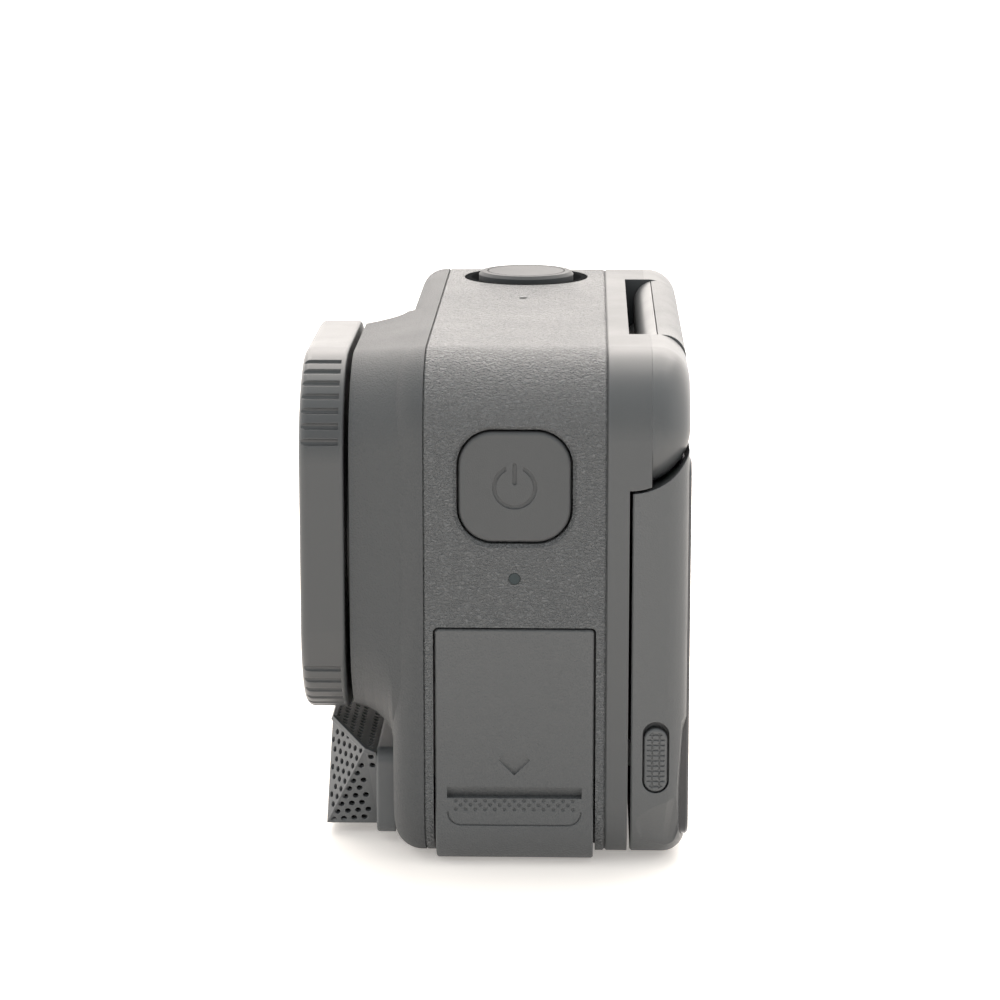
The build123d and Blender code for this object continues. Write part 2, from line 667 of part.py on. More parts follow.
lens_seat = recess_floor - 4.0 + LENS_SINK
rim_y = lens_seat - 1.2
dome_radius = (LENS_RADIUS**2 + LENS_DOME**2) / (2 * LENS_DOME)
dome_x = LENS_RADIUS / 2
dome_y = rim_y - LENS_DOME + dome_radius - sqrt(dome_radius**2 - dome_x**2)
with BuildPart() as front_lens:
    with BuildSketch(lens_section):
        with BuildLine():
            Line((0, lens_seat), (LENS_RADIUS, lens_seat))
            Line((LENS_RADIUS, lens_seat), (LENS_RADIUS, rim_y))
            ThreePointArc((LENS_RADIUS, rim_y), (dome_x, dome_y), (0, rim_y - LENS_DOME))
            Line((0, rim_y - LENS_DOME), (0, lens_seat))
        make_face()
    revolve(axis=lens_axis)
front_lens.part.label = "front_lens"
export_step(front_lens.part, "parts/front_lens.step")

with BuildPart() as inner_lenses:
    for depth, radius, thickness in ((3.2, 8.9, 1.5), (5.6, 8.9, 1.4), (8.2, 5.9, 1.6)):
        with BuildSketch(across(recess_floor - 4.0 + depth + thickness)):
            with Locations((LENS_X, lens_z)):
                Circle(radius)
        extrude(amount=thickness)
inner_lenses.part.label = "inner_lenses"
export_step(inner_lenses.part, "parts/inner_lenses.step")

with BuildPart() as lens_retainer:
    with BuildSketch(across(recess_floor - 4.0)):
        with Locations((LENS_X, lens_z)):
            Circle(BARREL_FLANGE - 1.0)
            Circle(LENS_RADIUS - 0.7, mode=Mode.SUBTRACT)
    extrude(amount=0.5)
    chamfer(edges().filter_by(GeomType.CIRCLE).sort_by(SortBy.RADIUS)[-1], 0.2)
lens_retainer.part.label = "lens_retainer"
export_step(lens_retainer.part, "parts/lens_retainer.step")

with BuildPart() as image_sensor:
    with BuildSketch(across(barrel_rear + 1.4)):
        with Locations((LENS_X, lens_z)):
            Rectangle(14.0, 11.5)
    extrude(amount=1.4)
image_sensor.part.label = "image_sensor"
export_step(image_sensor.part, "parts/image_sensor.step")

with BuildPart() as sensor_board:
    with BuildSketch(across(barrel_rear + 2.2)):
        with Locations((LENS_X, lens_z)):
            RectangleRounded(22.0, 22.0, 1.0)
    extrude(amount=0.8)
sensor_board.part.label = "sensor_board"
export_step(sensor_board.part, "parts/sensor_board.step")

# ---------------------------------------------------------------- lens guard
# A rounded square frame with finger grooves at its corners, a flat glass seated from behind,
# and a collar that turns in the block's round recess.
corner_middle = GUARD_SIZE / 2 - GUARD_CORNER
groove_radius = 0.34
grip_spots = []
for quarter in range(4):
    for grip in range(GUARD_GRIPS):
        angle = 90 * quarter + 12 + 54 * grip / (GUARD_GRIPS - 1)
        middle_x = corner_middle * (1 if quarter in (0, 3) else -1)
        middle_z = corner_middle * (1 if quarter in (0, 1) else -1)
        reach = GUARD_CORNER + 0.05
        spot_x = LENS_X + middle_x + reach * cos(radians(angle))
        spot_z = lens_z + middle_z + reach * sin(radians(angle))
        grip_spots.append((spot_x, spot_z))

with BuildPart() as lens_guard:
    with BuildSketch(across(guard_rear)):
        with Locations((LENS_X, lens_z)):
            RectangleRounded(GUARD_SIZE, GUARD_SIZE, GUARD_CORNER)
    extrude(amount=GUARD_DEPTH)
    fillet(faces().sort_by(Axis.Y)[0].edges(), 0.9)
    fillet(faces().sort_by(Axis.Y)[-1].edges(), 0.35)
    with BuildSketch(across(guard_front)):
        with Locations(*grip_spots):
            Circle(groove_radius)
    extrude(amount=-(GUARD_DEPTH - 0.5), mode=Mode.SUBTRACT)
    with BuildSketch(across(recess_floor - 0.5)):
        with Locations((LENS_X, lens_z)):
            Circle(BARREL_FLANGE + 0.3 + COLLAR_WALL)
    extrude(amount=recess_floor - 0.5 - guard_rear)
    with BuildSketch(across(0)):
        with Locations((LENS_X, lens_z)):
            Circle(BARREL_FLANGE + 0.3)
    extrude(amount=30, mode=Mode.SUBTRACT)
    with BuildSketch(across(guard_front + 0.6)):
        with Locations((LENS_X, lens_z)):
            Circle(GUARD_OPENING)
    extrude(amount=0.6, mode=Mode.SUBTRACT)
    with BuildSketch(across(guard_front + 1.9)):
        with Locations((LENS_X, lens_z)):
            Circle(GUARD_OPENING + 1.0)
    extrude(amount=1.3, mode=Mode.SUBTRACT)
lens_guard.part.label = "lens_guard"
export_step(lens_guard.part, "parts/lens_guard.step")

with BuildPart() as guard_glass:
    with BuildSketch(across(guard_front + 1.85)):
        with Locations((LENS_X, lens_z)):
            Circle(GUARD_OPENING + 1.0 - FIT)
    extrude(amount=1.2)
    chamfer(faces().sort_by(Axis.Y)[0].edges(), 0.2)
guard_glass.part.label = "guard_glass"
export_step(guard_glass.part, "parts/guard_glass.step")

# ---------------------------------------------------------------- wind guard
# A thin faceted cover over a foam block, on a flange that lies against the front face. It
# clips on under the lens and comes off forwards.
wind_rear = front_face - 0.15
wind_sheet_rear = wind_rear - WIND_FLANGE
wind_front = front_face - WIND_DEPTH


def wind_shape(inset):
    """Solid of the wind guard, set in by inset: leaning front, ramps and faceted ends that lean in below."""
    middle = (WIND_LEFT + WIND_RIGHT) / 2
    reach = (WIND_RIGHT - WIND_LEFT) / 2 - WIND_RIM - inset
    front_reach = reach + WIND_RIM - WIND_SETBACK
    foot_reach = front_reach + WIND_SPLAY
    front = wind_front + inset
    shoulder = wind_front + WIND_SHOULDER
    rear = wind_sheet_rear
    top = WIND_TOP + WIND_RISE - inset
    foot = WIND_FOOT + WIND_RIM / 2 + inset
    shoulder_top = WIND_TOP + WIND_RISE - WIND_RAMP - inset
    rear_top = shoulder_top - WIND_RAMP * (rear - shoulder) / WIND_SHOULDER

    def pair(reach_x, y, z):
        return [(middle - reach_x, y, z), (middle + reach_x, y, z)]

    front_top = pair(front_reach, front + WIND_LEAN, top)
    front_foot = pair(foot_reach, front, foot)
    shoulders = pair(reach, shoulder, shoulder_top)
    back_top = pair(reach, rear, rear_top)
    back_foot = pair(foot_reach, rear, foot)
    outlines = [
        [*front_top, front_foot[1], front_foot[0]],
        [*front_foot, back_foot[1], back_foot[0]],
        [*back_top, back_foot[1], back_foot[0]],
        [front_top[0], front_top[1], shoulders[1], shoulders[0]],
        [shoulders[0], shoulders[1], back_top[1], back_top[0]],
    ]
    for end in (0, 1):
        outlines.append([front_top[end], shoulders[end], front_foot[end]])
        outlines.append([shoulders[end], back_foot[end], front_foot[end]])
        outlines.append([shoulders[end], back_top[end], back_foot[end]])
    return Solid(Shell([Face(Wire.make_polygon(outline_points)) for outline_points in outlines]))


with BuildPart() as wind_guard_frame:
    with BuildSketch(across(wind_rear)):
        with Locations(((WIND_LEFT + WIND_RIGHT) / 2, (WIND_FOOT + WIND_TOP) / 2)):
            RectangleRounded(WIND_RIGHT - WIND_LEFT, WIND_TOP - WIND_FOOT, 1.5)
            Rectangle(WIND_RIGHT - WIND_LEFT - 4, WIND_TOP - WIND_FOOT - 3.4, mode=Mode.SUBTRACT)
    extrude(amount=WIND_FLANGE)
    fillet(faces().sort_by(Axis.Y)[0].outer_wire().edges(), 0.3)
wind_guard_frame.part.label = "wind_guard_frame"
export_step(wind_guard_frame.part, "parts/wind_guard_frame.step")

with BuildPart() as wind_guard_cover:
    add(wind_shape(0.0))
    add(wind_shape(WIND_SHEET), mode=Mode.SUBTRACT)
wind_guard_cover.part.label = "wind_guard_cover"
export_step(wind_guard_cover.part, "parts/wind_guard_cover.step")

with BuildPart() as wind_foam:
    add(wind_shape(WIND_SHEET + PANEL_GAP))
wind_foam.part.label = "wind_foam"
export_step(wind_foam.part, "parts/wind_foam.step")

with BuildPart() as front_microphone:
    with BuildSketch(across(frame_front + 1.0)):
        with Locations((MIC_X - 9, WIND_TOP / 2)):
            Rectangle(4.0, 3.0)
    extrude(amount=1.0 + FRONT_DEPTH - PLATE)
front_microphone.part.label = "front_microphone"
export_step(front_microphone.part, "parts/front_microphone.step")

# ---------------------------------------------------------------- front window and display
with BuildPart() as front_window:
    with BuildSketch(across(front_face + 1.0)):
        with Locations((WINDOW_X, window_z)):
            RectangleRounded(WINDOW_WIDTH, WINDOW_HEIGHT, 3.0 - FIT)
    extrude(amount=0.95)
    chamfer(faces().sort_by(Axis.Y)[0].edges(), 0.15)
front_window.part.label = "front_window"
export_step(front_window.part, "parts/front_window.step")

with BuildPart() as front_display:
    with BuildSketch(across(front_face + 2.6)):
        with Locations((WINDOW_X, window_z)):
            Rectangle(WINDOW_WIDTH - 5, WINDOW_HEIGHT - 7)
    extrude(amount=1.6)
front_display.part.label = "front_display"
export_step(front_display.part, "parts/front_display.step")

# ---------------------------------------------------------------- shutter
# A dished cup is set into the top of the frame. The button's stem passes through its floor to
# the switch on a small board above the battery.
cup_foot = HEIGHT - 4.8
cup_floor = 0.9
switch_top = cup_foot - 0.4
stem_foot = cup_foot + 0.2

with BuildPart() as shutter_ring:
    with BuildSketch(Plane.XY.offset(cup_foot)):
        with Locations((SHUTTER_X, 0)):
            Circle(RING_RADIUS)
    extrude(amount=HEIGHT - cup_foot)
    with BuildSketch(Plane.XY.offset(cup_foot + cup_floor)):
        with Locations((SHUTTER_X, 0)):
            Circle(SHUTTER_RADIUS + PANEL_GAP)
    extrude(amount=HEIGHT, mode=Mode.SUBTRACT)
    mouth = edges().filter_by(GeomType.CIRCLE).group_by(Axis.Z)[-1].sort_by(SortBy.RADIUS)[0]
    chamfer(mouth, 0.7, RING_RADIUS - SHUTTER_RADIUS - PANEL_GAP - 0.35)
    with BuildSketch(Plane.XY.offset(cup_foot)):
        with Locations((SHUTTER_X, 0)):
            Circle(1.5 + PANEL_GAP)
    extrude(amount=cup_floor, mode=Mode.SUBTRACT)
shutter_ring.part.label = "shutter_ring"
export_step(shutter_ring.part, "parts/shutter_ring.step")

with BuildPart() as shutter_button:
    with BuildSketch(Plane.XY.offset(cup_foot + cup_floor + SHUTTER_TRAVEL + 0.3)):
        with Locations((SHUTTER_X, 0)):
            Circle(SHUTTER_RADIUS)
    extrude(amount=HEIGHT + SHUTTER_PROUD - (cup_foot + cup_floor + SHUTTER_TRAVEL + 0.3))
    chamfer(faces().sort_by(Axis.Z)[-1].edges(), 0.35)
    with BuildSketch(Plane.XY.offset(HEIGHT + SHUTTER_PROUD)):
        with Locations((SHUTTER_X, 0)):
            Circle(SHUTTER_RADIUS - 0.95)
            Circle(SHUTTER_RADIUS - 1.1, mode=Mode.SUBTRACT)
    extrude(amount=-0.15, mode=Mode.SUBTRACT)
    with BuildSketch(Plane.XY.offset(stem_foot)):
        with Locations((SHUTTER_X, 0)):
            Circle(1.5)
    extrude(amount=HEIGHT - 1 - stem_foot)
shutter_button.part.label = "shutter_button"
export_step(shutter_button.part, "parts/shutter_button.step")

with BuildPart() as top_board:
    with BuildSketch(Plane.XY.offset(switch_top - 1.8)):
        with Locations((SHUTTER_X + 7, 0)):
            RectangleRounded(26.0, 12.0, 1.0)
    extrude(amount=0.6)
top_board.part.label = "top_board"
export_step(top_board.part, "parts/top_board.step")

with BuildPart() as shutter_switch:
    with BuildSketch(Plane.XY.offset(switch_top - 1.2)):
        with Locations((SHUTTER_X, 0)):
            RectangleRounded(4.6, 4.6, 0.4)
    extrude(amount=0.8)
    with BuildSketch(Plane.XY.offset(switch_top - 0.4)):
        with Locations((SHUTTER_X, 0)):
            Circle(1.2)
    extrude(amount=0.3)
shutter_switch.part.label = "shutter_switch"
export_step(shutter_switch.part, "parts/shutter_switch.step")

with BuildPart() as top_microphone:
    with BuildSketch(Plane.XY.offset(switch_top - 1.2)):
        with Locations((MIC_X, 0)):
            Rectangle(3.5, 2.7)
    extrude(amount=HEIGHT - WALL - switch_top + 1.2)
    with BuildSketch(Plane.XY.offset(HEIGHT - WALL)):
        with Locations((MIC_X, 0)):
            Circle(MIC_RADIUS)
    extrude(amount=-0.6, mode=Mode.SUBTRACT)
top_microphone.part.label = "top_microphone"
export_step(top_microphone.part, "parts/top_microphone.step")

# ---------------------------------------------------------------- power button and light
button_face = side - 0.2
wall_inside = side - WALL

with BuildPart() as power_button:
    with BuildSketch(Plane.YZ.offset(wall_inside - 1.0)):
        with Locations((0, power_z)):
            RectangleRounded(POWER_SIZE + 1.0, POWER_SIZE + 1.0, POWER_CORNER)
    extrude(amount=0.7)
    with BuildSketch(Plane.YZ.offset(wall_inside - 1.0)):
        with Locations((0, power_z)):
            RectangleRounded(POWER_SIZE, POWER_SIZE, POWER_CORNER)
    extrude(amount=button_face - wall_inside + 1.0)
    fillet(faces().sort_by(Axis.X)[-1].edges(), 0.35)
    # engraved sign: a ring open at the top and a bar
    with BuildSketch(Plane.YZ.offset(button_face)):
        with Locations((0, power_z)):
            Circle(2.2)
            Circle(1.8, mode=Mode.SUBTRACT)
        with Locations((0, power_z + 1.8)):
            Rectangle(1.7, 1.6, mode=Mode.SUBTRACT)
        with Locations((0, power_z + 1.3)):
            SlotOverall(2.2, 0.42, rotation=90)
    extrude(amount=-0.15, mode=Mode.SUBTRACT)
power_button.part.label = "power_button"
export_step(power_button.part, "parts/power_button.step")

button_board_x = wall_inside - 3.4
with BuildPart() as power_switch:
    with BuildSketch(Plane.YZ.offset(button_board_x)):
        with Locations((0, power_z)):
            RectangleRounded(4.6, 4.6, 0.4)
    extrude(amount=1.4)
    with BuildSketch(Plane.YZ.offset(button_board_x + 1.4)):
        with Locations((0, power_z)):
            Circle(1.2)
    extrude(amount=0.4)
power_switch.part.label = "power_switch"
export_step(power_switch.part, "parts/power_switch.step")

with BuildPart() as button_board:
    with BuildSketch(Plane.YZ.offset(button_board_x - 0.8)):
        with Locations((0, power_z - 4.0)):
            RectangleRounded(11.0, 17.0, 1.0)
    extrude(amount=0.8)
button_board.part.label = "button_board"
export_step(button_board.part, "parts/button_board.step")

with BuildPart() as status_light:
    with BuildSketch(Plane.YZ.offset(button_board_x)):
        with Locations((0, light_z)):
            Circle(LIGHT_RADIUS)
    extrude(amount=side - 0.05 - button_board_x)
    with BuildSketch(Plane.YZ.offset(button_board_x)):
        with Locations((0, light_z)):
            Rectangle(2.0, 1.6)
    extrude(amount=wall_inside - 0.3 - button_board_x)
status_light.part.label = "status_light"
export_step(status_light.part, "parts/status_light.step")

# ---------------------------------------------------------------- connector door
# The door slides down, then swings out about a pin whose axis is the centre of its rounded
# lower corner, so that the lip under the camera turns within its own outline. A carrier that
# slides with it holds the pin.
door_axis_x = side - DOOR_CORNER
door_axis_z = DOOR_CORNER
door_half = DOOR_WIDTH / 2
knuckle_radius = DOOR_PIN_RADIUS + 0.9
knuckle_half = 3.0
lip_angle = radians(-105)
door_plane = Plane.XZ.offset(-door_half)
bay_foot = DOOR_CORNER * 2 + 0.6
seal_depth = 0.9


def seal_ring(width, height, middle, corner=1.5, band=1.0, grow=0.0):
    """Band of a door seal in a side plane, centred at height middle."""
    with BuildSketch(mode=Mode.PRIVATE) as shape:
        with Locations((0, middle)):
            RectangleRounded(width + 2 * grow, height + 2 * grow, corner + grow)
            inner = (width - 2 * band - 2 * grow, height - 2 * band - 2 * grow)
            RectangleRounded(*inner, corner - band / 2 - grow, mode=Mode.SUBTRACT)
    return shape.sketch


seal_size = (DOOR_WIDTH - 1.0, DOOR_TOP - bay_foot - 1.0, (bay_foot + DOOR_TOP) / 2)
door_seal_ring = seal_ring(*seal_size)
door_seal_groove = seal_ring(*seal_size, grow=FIT)

with BuildPart() as usb_door:
    with BuildSketch(door_plane):
        with BuildLine():
            inner = DOOR_CORNER - DOOR_THICKNESS
            inside_x = side - DOOR_THICKNESS
            tip = (door_axis_x + DOOR_CORNER * cos(lip_angle), door_axis_z + DOOR_CORNER * sin(lip_angle))
            heel = (door_axis_x + inner * cos(lip_angle), door_axis_z + inner * sin(lip_angle))
            bend = radians(-52)
            outer_bend = (door_axis_x + DOOR_CORNER * cos(bend), door_axis_z + DOOR_CORNER * sin(bend))
            inner_bend = (door_axis_x + inner * cos(bend), door_axis_z + inner * sin(bend))
            Line((inside_x, DOOR_TOP), (side, DOOR_TOP))
            Line((side, DOOR_TOP), (side, door_axis_z))
            ThreePointArc((side, door_axis_z), outer_bend, tip)
            Line(tip, heel)
            ThreePointArc(heel, inner_bend, (inside_x, door_axis_z))
            Line((inside_x, door_axis_z), (inside_x, DOOR_TOP))
        make_face()
    extrude(amount=DOOR_WIDTH)
    top_corners = edges().filter_by(Axis.X).group_by(Axis.Z)[-1]
    fillet(top_corners, 0.35)
    chamfer(faces().sort_by(Axis.X)[-1].edges().filter_by(Axis.X, reverse=True), 0.15)
    with BuildSketch(Plane.YZ.offset(wall_inside)):
        add(door_seal_groove)
    extrude(amount=0.15 + seal_depth, mode=Mode.SUBTRACT)
    # thumb ledge: the face slopes back above a bar with dimples along its upper edge
    with BuildSketch(Plane.XZ.offset(-LEDGE_LENGTH / 2)):
        with BuildLine():
            Polyline(
                (side, DOOR_LEDGE),
                (side, DOOR_LEDGE + LEDGE_SLOPE),
                (side - LEDGE_RECESS, DOOR_LEDGE),
                close=True,
            )
        make_face()
    extrude(amount=LEDGE_LENGTH, mode=Mode.SUBTRACT)
    with BuildSketch(Plane.YZ.offset(side)):
        with Locations((0, DOOR_LEDGE - LEDGE_HEIGHT / 2 + BAR_OUTLINE)):
            RectangleRounded(LEDGE_LENGTH, LEDGE_HEIGHT + 2 * BAR_OUTLINE, BAR_CORNER)
            RectangleRounded(
                LEDGE_LENGTH - 2 * BAR_OUTLINE,
                LEDGE_HEIGHT,
                BAR_CORNER - BAR_OUTLINE,
                mode=Mode.SUBTRACT,
            )
        with Locations((0, DOOR_LEDGE)):
            Rectangle(DOOR_WIDTH, 2 * BAR_CORNER, mode=Mode.SUBTRACT)
    extrude(amount=-DIMPLE_DEPTH, mode=Mode.SUBTRACT)
    with BuildSketch(Plane.YZ.offset(side)):
        with Locations((0, DOOR_LEDGE - 0.7)):
            with GridLocations(DIMPLE_PITCH, 2 * DIMPLE_ROW, 13, 2):
                Circle(DIMPLE_RADIUS)
            with GridLocations(DIMPLE_PITCH, 1, 12, 1):
                Circle(DIMPLE_RADIUS)
    extrude(amount=-DIMPLE_DEPTH, taper=30, mode=Mode.SUBTRACT)
    # arrow mark: a triangle that gets deeper towards its point
    with BuildPart(mode=Mode.PRIVATE) as mark:
        with BuildSketch(Plane.YZ.offset(side)):
            with BuildLine():
                Polyline(
                    (0, MARK_FOOT),
                    (MARK_WIDTH / 2, MARK_FOOT + MARK_WIDTH / 2),
                    (0, MARK_FOOT + MARK_WIDTH),
                    (-MARK_WIDTH / 2, MARK_FOOT + MARK_WIDTH / 2),
                    close=True,
                )
            make_face()
        extrude(amount=-DOOR_THICKNESS)
        with BuildSketch(Plane.XZ.offset(-MARK_WIDTH)):
            with BuildLine():
                Polyline(
                    (side, MARK_FOOT + 0.8 * MARK_WIDTH),
                    (side - MARK_DEPTH, MARK_FOOT),
                    (side, MARK_FOOT),
                    close=True,
                )
            make_face()
        extrude(amount=2 * MARK_WIDTH, mode=Mode.INTERSECT)
    add(mark.part, mode=Mode.SUBTRACT)
    # knuckle round the hinge pin
    with BuildSketch(Plane.XZ.offset(-knuckle_half)):
        with Locations((door_axis_x, door_axis_z)):
            Circle(knuckle_radius)
        with Locations((door_axis_x + 1.5, door_axis_z)):
            Rectangle(3.0, 1.6)
    extrude(amount=2 * knuckle_half)
    with BuildSketch(Plane.XZ.offset(-door_half)):
        with Locations((door_axis_x, door_axis_z)):
            Circle(DOOR_PIN_RADIUS + FIT)
    extrude(amount=DOOR_WIDTH, mode=Mode.SUBTRACT)
usb_door.part.label = "usb_door"
export_step(usb_door.part, "parts/usb_door.step")

with BuildPart() as usb_hinge_pin:
    with BuildSketch(Plane.XZ.offset(-(door_half - 1.2))):
        with Locations((door_axis_x, door_axis_z)):
            Circle(DOOR_PIN_RADIUS)
    extrude(amount=DOOR_WIDTH - 2.4)
usb_hinge_pin.part.label = "usb_hinge_pin"
export_step(usb_hinge_pin.part, "parts/usb_hinge_pin.step")

fork_inner = knuckle_half + PANEL_GAP
fork_outer = door_half - 0.9
bridge_x = door_axis_x - 4.2
bridge_z = door_axis_z + 4.6
with BuildPart() as usb_carrier:
    with BuildSketch(Plane.XZ.offset(-fork_outer)):
        with Locations((door_axis_x, door_axis_z)):
            Circle(1.1)
        with Locations((bridge_x, bridge_z)):
            Circle(1.0)
        make_hull()
    extrude(amount=2 * fork_outer)
    with BuildSketch(Plane.XZ.offset(-fork_inner)):
        with Locations((door_axis_x, door_axis_z)):
            Circle(4.6)
    extrude(amount=2 * fork_inner, mode=Mode.SUBTRACT)
    with BuildSketch(Plane.XZ.offset(-fork_outer)):
        with Locations((door_axis_x, door_axis_z)):
            Circle(DOOR_PIN_RADIUS + FIT / 2)
    extrude(amount=2 * fork_outer, mode=Mode.SUBTRACT)
usb_carrier.part.label = "usb_carrier"
export_step(usb_carrier.part, "parts/usb_carrier.step")

# Sealed bay behind the door, with the connector in it
bay_plate_x = wall_inside - 2.2
bay_top = DOOR_TOP + 1.6
with BuildPart() as port_bay:
    with BuildSketch(Plane.YZ.offset(bay_plate_x)):
        with Locations((0, (bay_foot + bay_top) / 2)):
            RectangleRounded(FRAME_DEPTH - 0.4, bay_top - bay_foot, 1.5)
    extrude(amount=wall_inside - bay_plate_x)
    with BuildSketch(Plane.YZ.offset(bay_plate_x + 1.2)):
        with Locations((0, (bay_foot + DOOR_TOP) / 2)):
            RectangleRounded(DOOR_WIDTH - 3.0, DOOR_TOP - bay_foot - 2.6, 1.2)
    extrude(amount=3.0, mode=Mode.SUBTRACT)
    with BuildSketch(Plane.YZ.offset(bay_plate_x)):
        with Locations((0, PORT_Z)):
            SlotOverall(PORT_LENGTH + 0.1, PORT_WIDTH + 0.1, rotation=90)
    extrude(amount=3.0, mode=Mode.SUBTRACT)
port_bay.part.label = "port_bay"
export_step(port_bay.part, "parts/port_bay.step")

with BuildPart() as usb_port:
    with BuildSketch(Plane.YZ.offset(bay_plate_x - 6.0)):
        with Locations((0, PORT_Z)):
            SlotOverall(PORT_LENGTH, PORT_WIDTH, rotation=90)
    extrude(amount=7.0)
    with BuildSketch(Plane.YZ.offset(bay_plate_x + 1.0)):
        with Locations((0, PORT_Z)):
            SlotOverall(PORT_LENGTH - 0.6, PORT_WIDTH - 0.6, rotation=90)
            Rectangle(0.7, PORT_LENGTH - 2.4, mode=Mode.SUBTRACT)
    extrude(amount=-5.5, mode=Mode.SUBTRACT)
usb_port.part.label = "usb_port"
export_step(usb_port.part, "parts/usb_port.step")

with BuildPart() as usb_door_seal:
    with BuildSketch(Plane.YZ.offset(wall_inside + 0.15)):
        add(door_seal_ring)
    extrude(amount=seal_depth)
usb_door_seal.part.label = "usb_door_seal"
export_step(usb_door_seal.part, "parts/usb_door_seal.step")

# ---------------------------------------------------------------- battery side
# The battery slides into a sleeve from the -X side and a hinged door closes it.
sleeve_in = -wall_inside
sleeve_depth = BATTERY[0] + 2.0
battery_y = 0.4
sleeve_z = BATTERY_FOOT + BATTERY[2] / 2

hatch_middle = (hatch_axis_z + BAY_TOP) / 2
hatch_seal_size = (BAY_WIDTH - 0.6, BAY_TOP - BAY_FOOT - 3.4, hatch_middle + 0.35)
hatch_seal_ring = seal_ring(*hatch_seal_size)
hatch_seal_groove = seal_ring(*hatch_seal_size, grow=FIT)

with BuildPart() as battery_door:
    with BuildSketch(Plane.YZ.offset(-side)):
        with Locations((0, hatch_middle)):
            Rectangle(BAY_WIDTH, BAY_TOP - hatch_axis_z)
        fillet(vertices().group_by(Axis.Y)[-1], 1.8)
    extrude(amount=HATCH_THICKNESS)
    with BuildSketch(Plane.XZ.offset(-BAY_WIDTH / 2)):
        with Locations((hatch_axis_x, hatch_axis_z)):
            Circle(HATCH_THICKNESS / 2)
    extrude(amount=BAY_WIDTH)
    with BuildSketch(Plane.XZ.offset(-BAY_WIDTH / 2)):
        with Locations((hatch_axis_x, hatch_axis_z)):
            Circle(HATCH_PIN_RADIUS + FIT)
    extrude(amount=BAY_WIDTH, mode=Mode.SUBTRACT)
    with BuildSketch(Plane.YZ.offset(-side)):
        with Locations((0, BAY_TOP - 7.0)):
            RectangleRounded(8.4, 8.0, 1.5)
    extrude(amount=0.9, mode=Mode.SUBTRACT)
    with BuildSketch(Plane.YZ.offset(-wall_inside)):
        add(hatch_seal_groove)
    extrude(amount=-0.15 - seal_depth, mode=Mode.SUBTRACT)
battery_door.part.label = "battery_door"
export_step(battery_door.part, "parts/battery_door.step")

with BuildPart() as battery_latch:
    with BuildSketch(Plane.YZ.offset(-side + 0.85)):
        with Locations((0, BAY_TOP - 6.3)):
            RectangleRounded(8.0, 6.2, 1.3)
    extrude(amount=-0.85)
    fillet(faces().sort_by(Axis.X)[0].edges(), 0.25)
    with BuildSketch(Plane.YZ.offset(-side)):
        with Locations((0, BAY_TOP - 6.3)):
            with GridLocations(1, 1.1, 1, 4):
                SlotOverall(5.4, 0.45)
    extrude(amount=0.3, mode=Mode.SUBTRACT)
battery_latch.part.label = "battery_latch"
export_step(battery_latch.part, "parts/battery_latch.step")

with BuildPart() as battery_door_pin:
    with BuildSketch(Plane.XZ.offset(-(frame_rear - 0.4))):
        with Locations((hatch_axis_x, hatch_axis_z)):
            Circle(HATCH_PIN_RADIUS)
    extrude(amount=FRAME_DEPTH - 0.8)
battery_door_pin.part.label = "battery_door_pin"
export_step(battery_door_pin.part, "parts/battery_door_pin.step")

with BuildPart() as battery_sleeve:
    with BuildSketch(Plane.YZ.offset(sleeve_in)):
        with Locations((battery_y, sleeve_z)):
            outer_y = BATTERY[1] + 0.4 + 2 * SLEEVE
            outer_z = BATTERY[2] + 0.4 + 2 * SLEEVE
            Rectangle(outer_y, outer_z)
    extrude(amount=sleeve_depth)
    with BuildSketch(Plane.YZ.offset(sleeve_in)):
        with Locations((battery_y, sleeve_z)):
            Rectangle(BATTERY[1] + 0.4, BATTERY[2] + 0.4)
    extrude(amount=sleeve_depth - SLEEVE, mode=Mode.SUBTRACT)
    with BuildSketch(Plane.YZ.offset(sleeve_in + sleeve_depth)):
        with Locations((battery_y, sleeve_z)):
            Rectangle(4.4, 14.4)
    extrude(amount=-SLEEVE, mode=Mode.SUBTRACT)
battery_sleeve.part.label = "battery_sleeve"
export_step(battery_sleeve.part, "parts/battery_sleeve.step")

with BuildPart() as battery_pack:
    with BuildSketch(Plane.YZ.offset(sleeve_in + 0.6)):
        with Locations((battery_y, sleeve_z)):
            Rectangle(BATTERY[1], BATTERY[2])
    extrude(amount=BATTERY[0])
    fillet(edges().filter_by(Axis.X), 1.0)
battery_pack.part.label = "battery_pack"
export_step(battery_pack.part, "parts/battery_pack.step")

with BuildPart() as battery_contacts:
    with BuildSketch(Plane.YZ.offset(sleeve_in + 0.6 + BATTERY[0] + 0.05)):
        with Locations((battery_y, sleeve_z)):
            Rectangle(4.2, 14.2)
    extrude(amount=3.0)
battery_contacts.part.label = "battery_contacts"
export_step(battery_contacts.part, "parts/battery_contacts.step")

with BuildPart() as battery_door_seal:
    with BuildSketch(Plane.YZ.offset(-wall_inside - 0.15)):
        add(hatch_seal_ring)
    extrude(amount=-seal_depth)
battery_door_seal.part.label = "battery_door_seal"
export_step(battery_door_seal.part, "parts/battery_door_seal.step")

card_foot = sleeve_z + BATTERY[2] / 2 + 0.2 + SLEEVE
with BuildPart() as card_socket:
    with BuildSketch(Plane.XY.offset(card_foot)):
        with Locations((-wall_inside + 7.6, 0)):
            Rectangle(14.4, 12.6)
    extrude(amount=1.6)
    with BuildSketch(Plane.YZ.offset(-wall_inside)):
        with Locations((0, card_foot + 0.85)):
            Rectangle(11.2, 0.9)
    extrude(amount=14.0, mode=Mode.SUBTRACT)
card_socket.part.label = "card_socket"
export_step(card_socket.part, "parts/card_socket.step")

